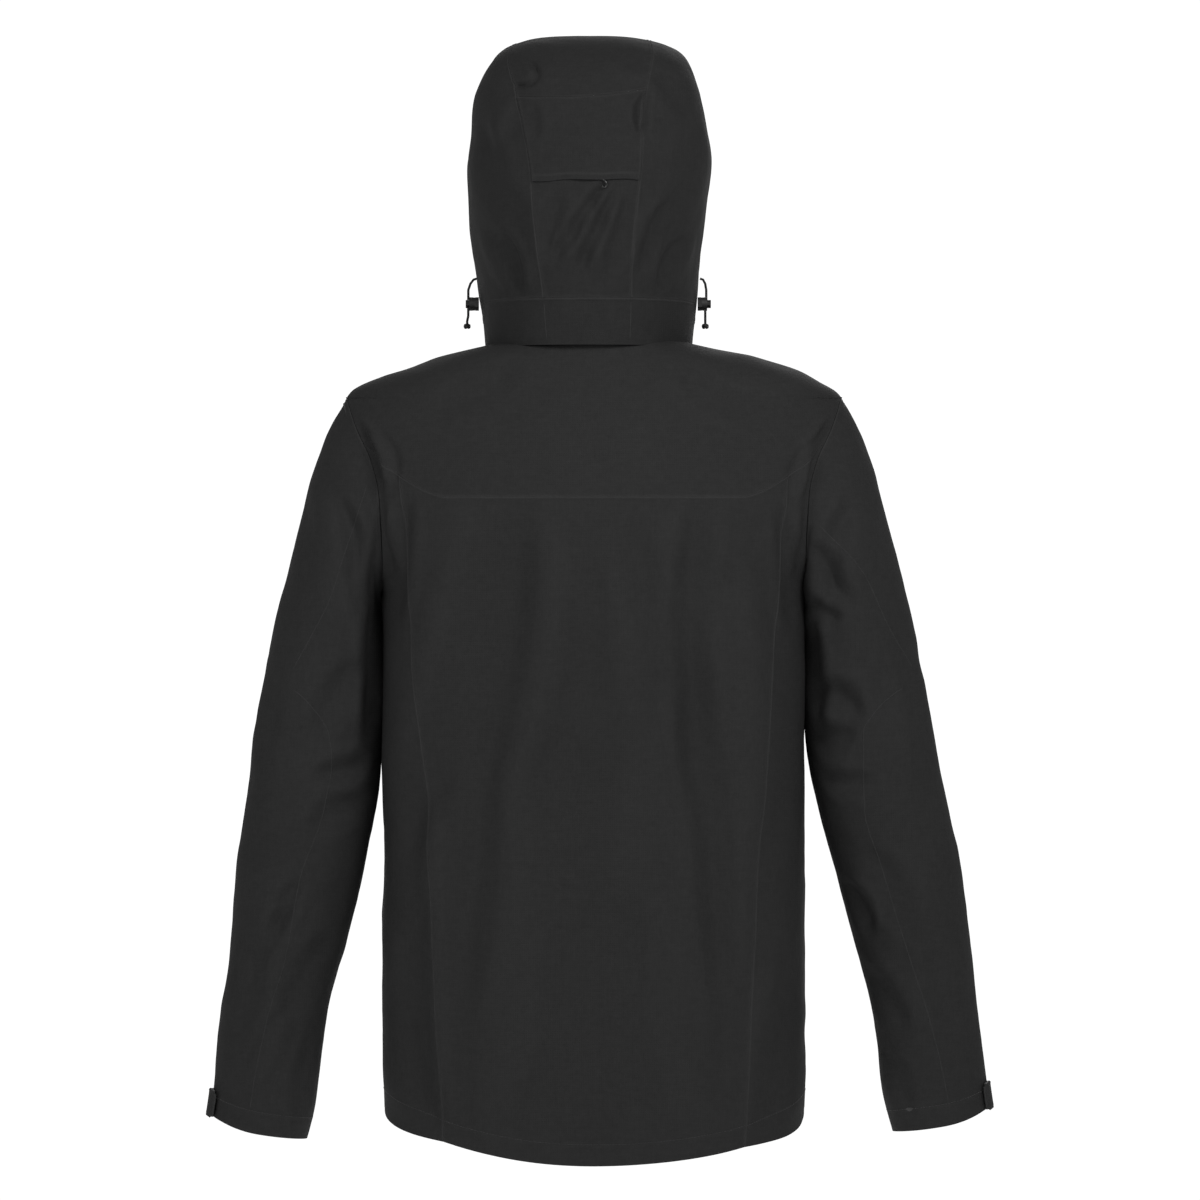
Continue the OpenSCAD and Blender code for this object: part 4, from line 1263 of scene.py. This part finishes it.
def stitch_rows(name, rows, body):
    """Short raised stitches along rows of (points, normals)."""
    def at(s, d, rows):
        return np.array([np.interp(s, d, column) for column in rows.T])
    verts = []
    ang = 2 * np.pi * ring_steps(5)[:, None]
    for pts, normals in rows:
        d = run_of(pts)
        for s in np.arange(STITCH_PITCH / 2, d[-1] - STITCH_PITCH / 2, STITCH_PITCH):
            tail, head = (at(s + e * STITCH_LENGTH, d, pts) for e in (-0.5, 0.5))
            n = unit(at(s, d, normals))
            t = unit(head - tail)
            spoke = STITCH_RADIUS * (np.cos(ang) * np.cross(n, t) + np.sin(ang) * n)
            verts += [(tail + head) / 2 + along * STITCH_LENGTH * t + r * spoke + lift * n
                      for along, r, lift in STITCH_RINGS]
    rings = len(STITCH_RINGS)
    one = ring_faces(rings, 5)
    faces = [[k * 5 + corner for corner in face] for k in range(0, len(verts), rings) for face in one]
    give(mesh_object(name, np.concatenate(verts), faces, THREAD), body)


def surface_row(surface, relief):
    """Points and normals from a 3-row strip surface(u, v) whose middle row is the wanted line."""
    u, v = np.meshgrid(np.linspace(0, 1, 401), np.linspace(0, 1, 3))
    p = surface(u, v)
    n = grid_normals(p)
    moved = p + (relief(p, v) + 0.05)[..., None] * n
    return moved[1], n[1]


ARM_SEAMS = {
    ("left", "upper"): [(214, -132), (236, -200), (250, -242), (268, -277), (286, -309)],
    ("left", "lower"): [(311, -320), (298, -322), (287, -326), (270, -340), (251, -370), (248, -392),
                        (256, -442), (279, -508), (293, -584), (308, -632), (322, -694), (327, -726)],
    ("right", "upper"): [(-212, -171), (-253, -214), (-281, -271), (-303, -307)],
    ("right", "lower"): [(-312, -320), (-296, -324), (-280, -334), (-262, -353), (-255, -366), (-255, -400),
                         (-256, -440), (-272, -494), (-300, -584), (-316, -632), (-332, -694), (-338, -726)]}
for (side, part), line in ARM_SEAMS.items():
    line = laid_line(caster(sleeves[side, part]), line)
    ridge = seam_ridge("sleeve_seam_%s_%s_1" % (part, side), line, 1.6, 0.4)
    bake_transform(ridge)

band_find = caster(bpy.data.objects["hood_band_cloth"])
BAND_SEAMS = {"left": [(47.3, 40), (46.0, 20), (44.5, 3)], "right": [(-35.0, 40), (-34.6, 20), (-34.0, 3)]}
for side, line in BAND_SEAMS.items():
    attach(seam_ridge("hood_band_seam_" + side, laid_line(band_find, line), 1.5, 0.35), "hood")

# the hood adjuster's little hook shows under the flap's edge
flap_find = caster(bpy.data.objects["hood_flap_cloth"], bpy.data.objects["hood_centre_cloth"])
hook_at, hook_n = flap_find(-9.0, 150.5)
hook_line = [(4.6, 3.0, -0.6), (3.0, 3.4, 1.0), (0.0, 2.6, 2.2), (-2.4, 0.6, 2.6), (-3.0, -2.2, 2.4),
             (-1.6, -4.4, 2.0), (0.8, -4.2, 1.7), (1.6, -2.2, 1.7)]
hook_line = [hook_at + np.array([x, 0, z]) + out * hook_n for x, z, out in hook_line]
give(tube_mesh("hood_adjuster_hook", hook_line, 0.75, BUTTON, 10), "hood")


def hem_row(a0, a1, up=1):
    """Stitches along the hem from angle a0 to a1."""
    return surface_row(lambda u, v: hem_ring(mix(a0, a1, u), 0.0, HEM_DEPTH + 2 * up * (v - 0.5)), body_relief)


def cuff_row(side, sign):
    def strip(u, v):
        return handed(sleeve_pt(CUFF - HEM_DEPTH / STATION - 0.003 * (v - 0.5), 360 * u), sign)
    return surface_row(strip, arm_relief(side))


hem_rows = [hem_row(88.0, -88.0), hem_row(96.0, 176.0, -1), hem_row(-176.0, -96.0, -1)]
stitch_rows("hem_stitches", hem_rows, "shell")
for side, sign in SIDES:
    stitch_rows("cuff_stitches_" + side, [cuff_row(side, sign)], "lower_arm_" + side)

# ---------------------------------------------------------------- lights and floor
LOOK_AT = np.array((0.0, -0.07, -0.25))


def area_light(name, place, size, power_w):
    data = bpy.data.lights.new(name, "AREA")
    data.shape = "DISK"
    data.size = size
    data.energy = power_w
    light = new_object(name, data)
    light.location = place
    way = LOOK_AT - place
    light.rotation_euler = (math.atan2(math.hypot(way[0], way[1]), -way[2]), 0,
                            math.atan2(way[1], way[0]) - math.pi / 2)


SKY_FILL = 0.34                      # a white wall behind the jacket, paler grey elsewhere
sky = Graph("studio", bpy.data.worlds, "Generated")
inward = sky.add("VectorMath", {0: sky.coord, 1: (0, -1, 0)}, operation="DOT_PRODUCT").outputs["Value"]
wall = {"Value": inward, "From Min": 0.93, "From Max": 0.975, "To Min": SKY_FILL, "To Max": 1.06}
wall = sky.add("MapRange", wall, interpolation_type="SMOOTHSTEP").outputs["Result"]
sky.join(sky.tree.nodes["Background"], {0: (1, 1, 1, 1), 1: wall})
scene.world = sky.made
scene.view_settings.view_transform = "Standard"
area_light("key_soft", (-0.9, 1.4, 1.05), 0.8, 25.0)
area_light("fill_soft", (1.4, 1.8, 0.95), 1.2, 21.0)
area_light("front_soft", (-0.4, -3.2, 1.2), 1.8, 26.0)

FLOOR_Z, FLOOR_HALF = -1600, 11000           # millimetres
paper = Graph("floor_paper")
floor_tone = paper.math("ADD", paper.math("MULTIPLY", paper.noise(30.0, 3.0), 0.02), 0.95)
corners = [(-1, -1), (1, -1), (1, 1), (-1, 1)]
floor = mesh_object("floor", [(x * FLOOR_HALF, y * FLOOR_HALF, FLOOR_Z) for x, y in corners], [(0, 1, 2, 3)],
                    paper.finish(Base_Color=floor_tone, Roughness=0.9, Emission_Color=(1, 1, 1, 1),
                                 Emission_Strength=0.45), False)
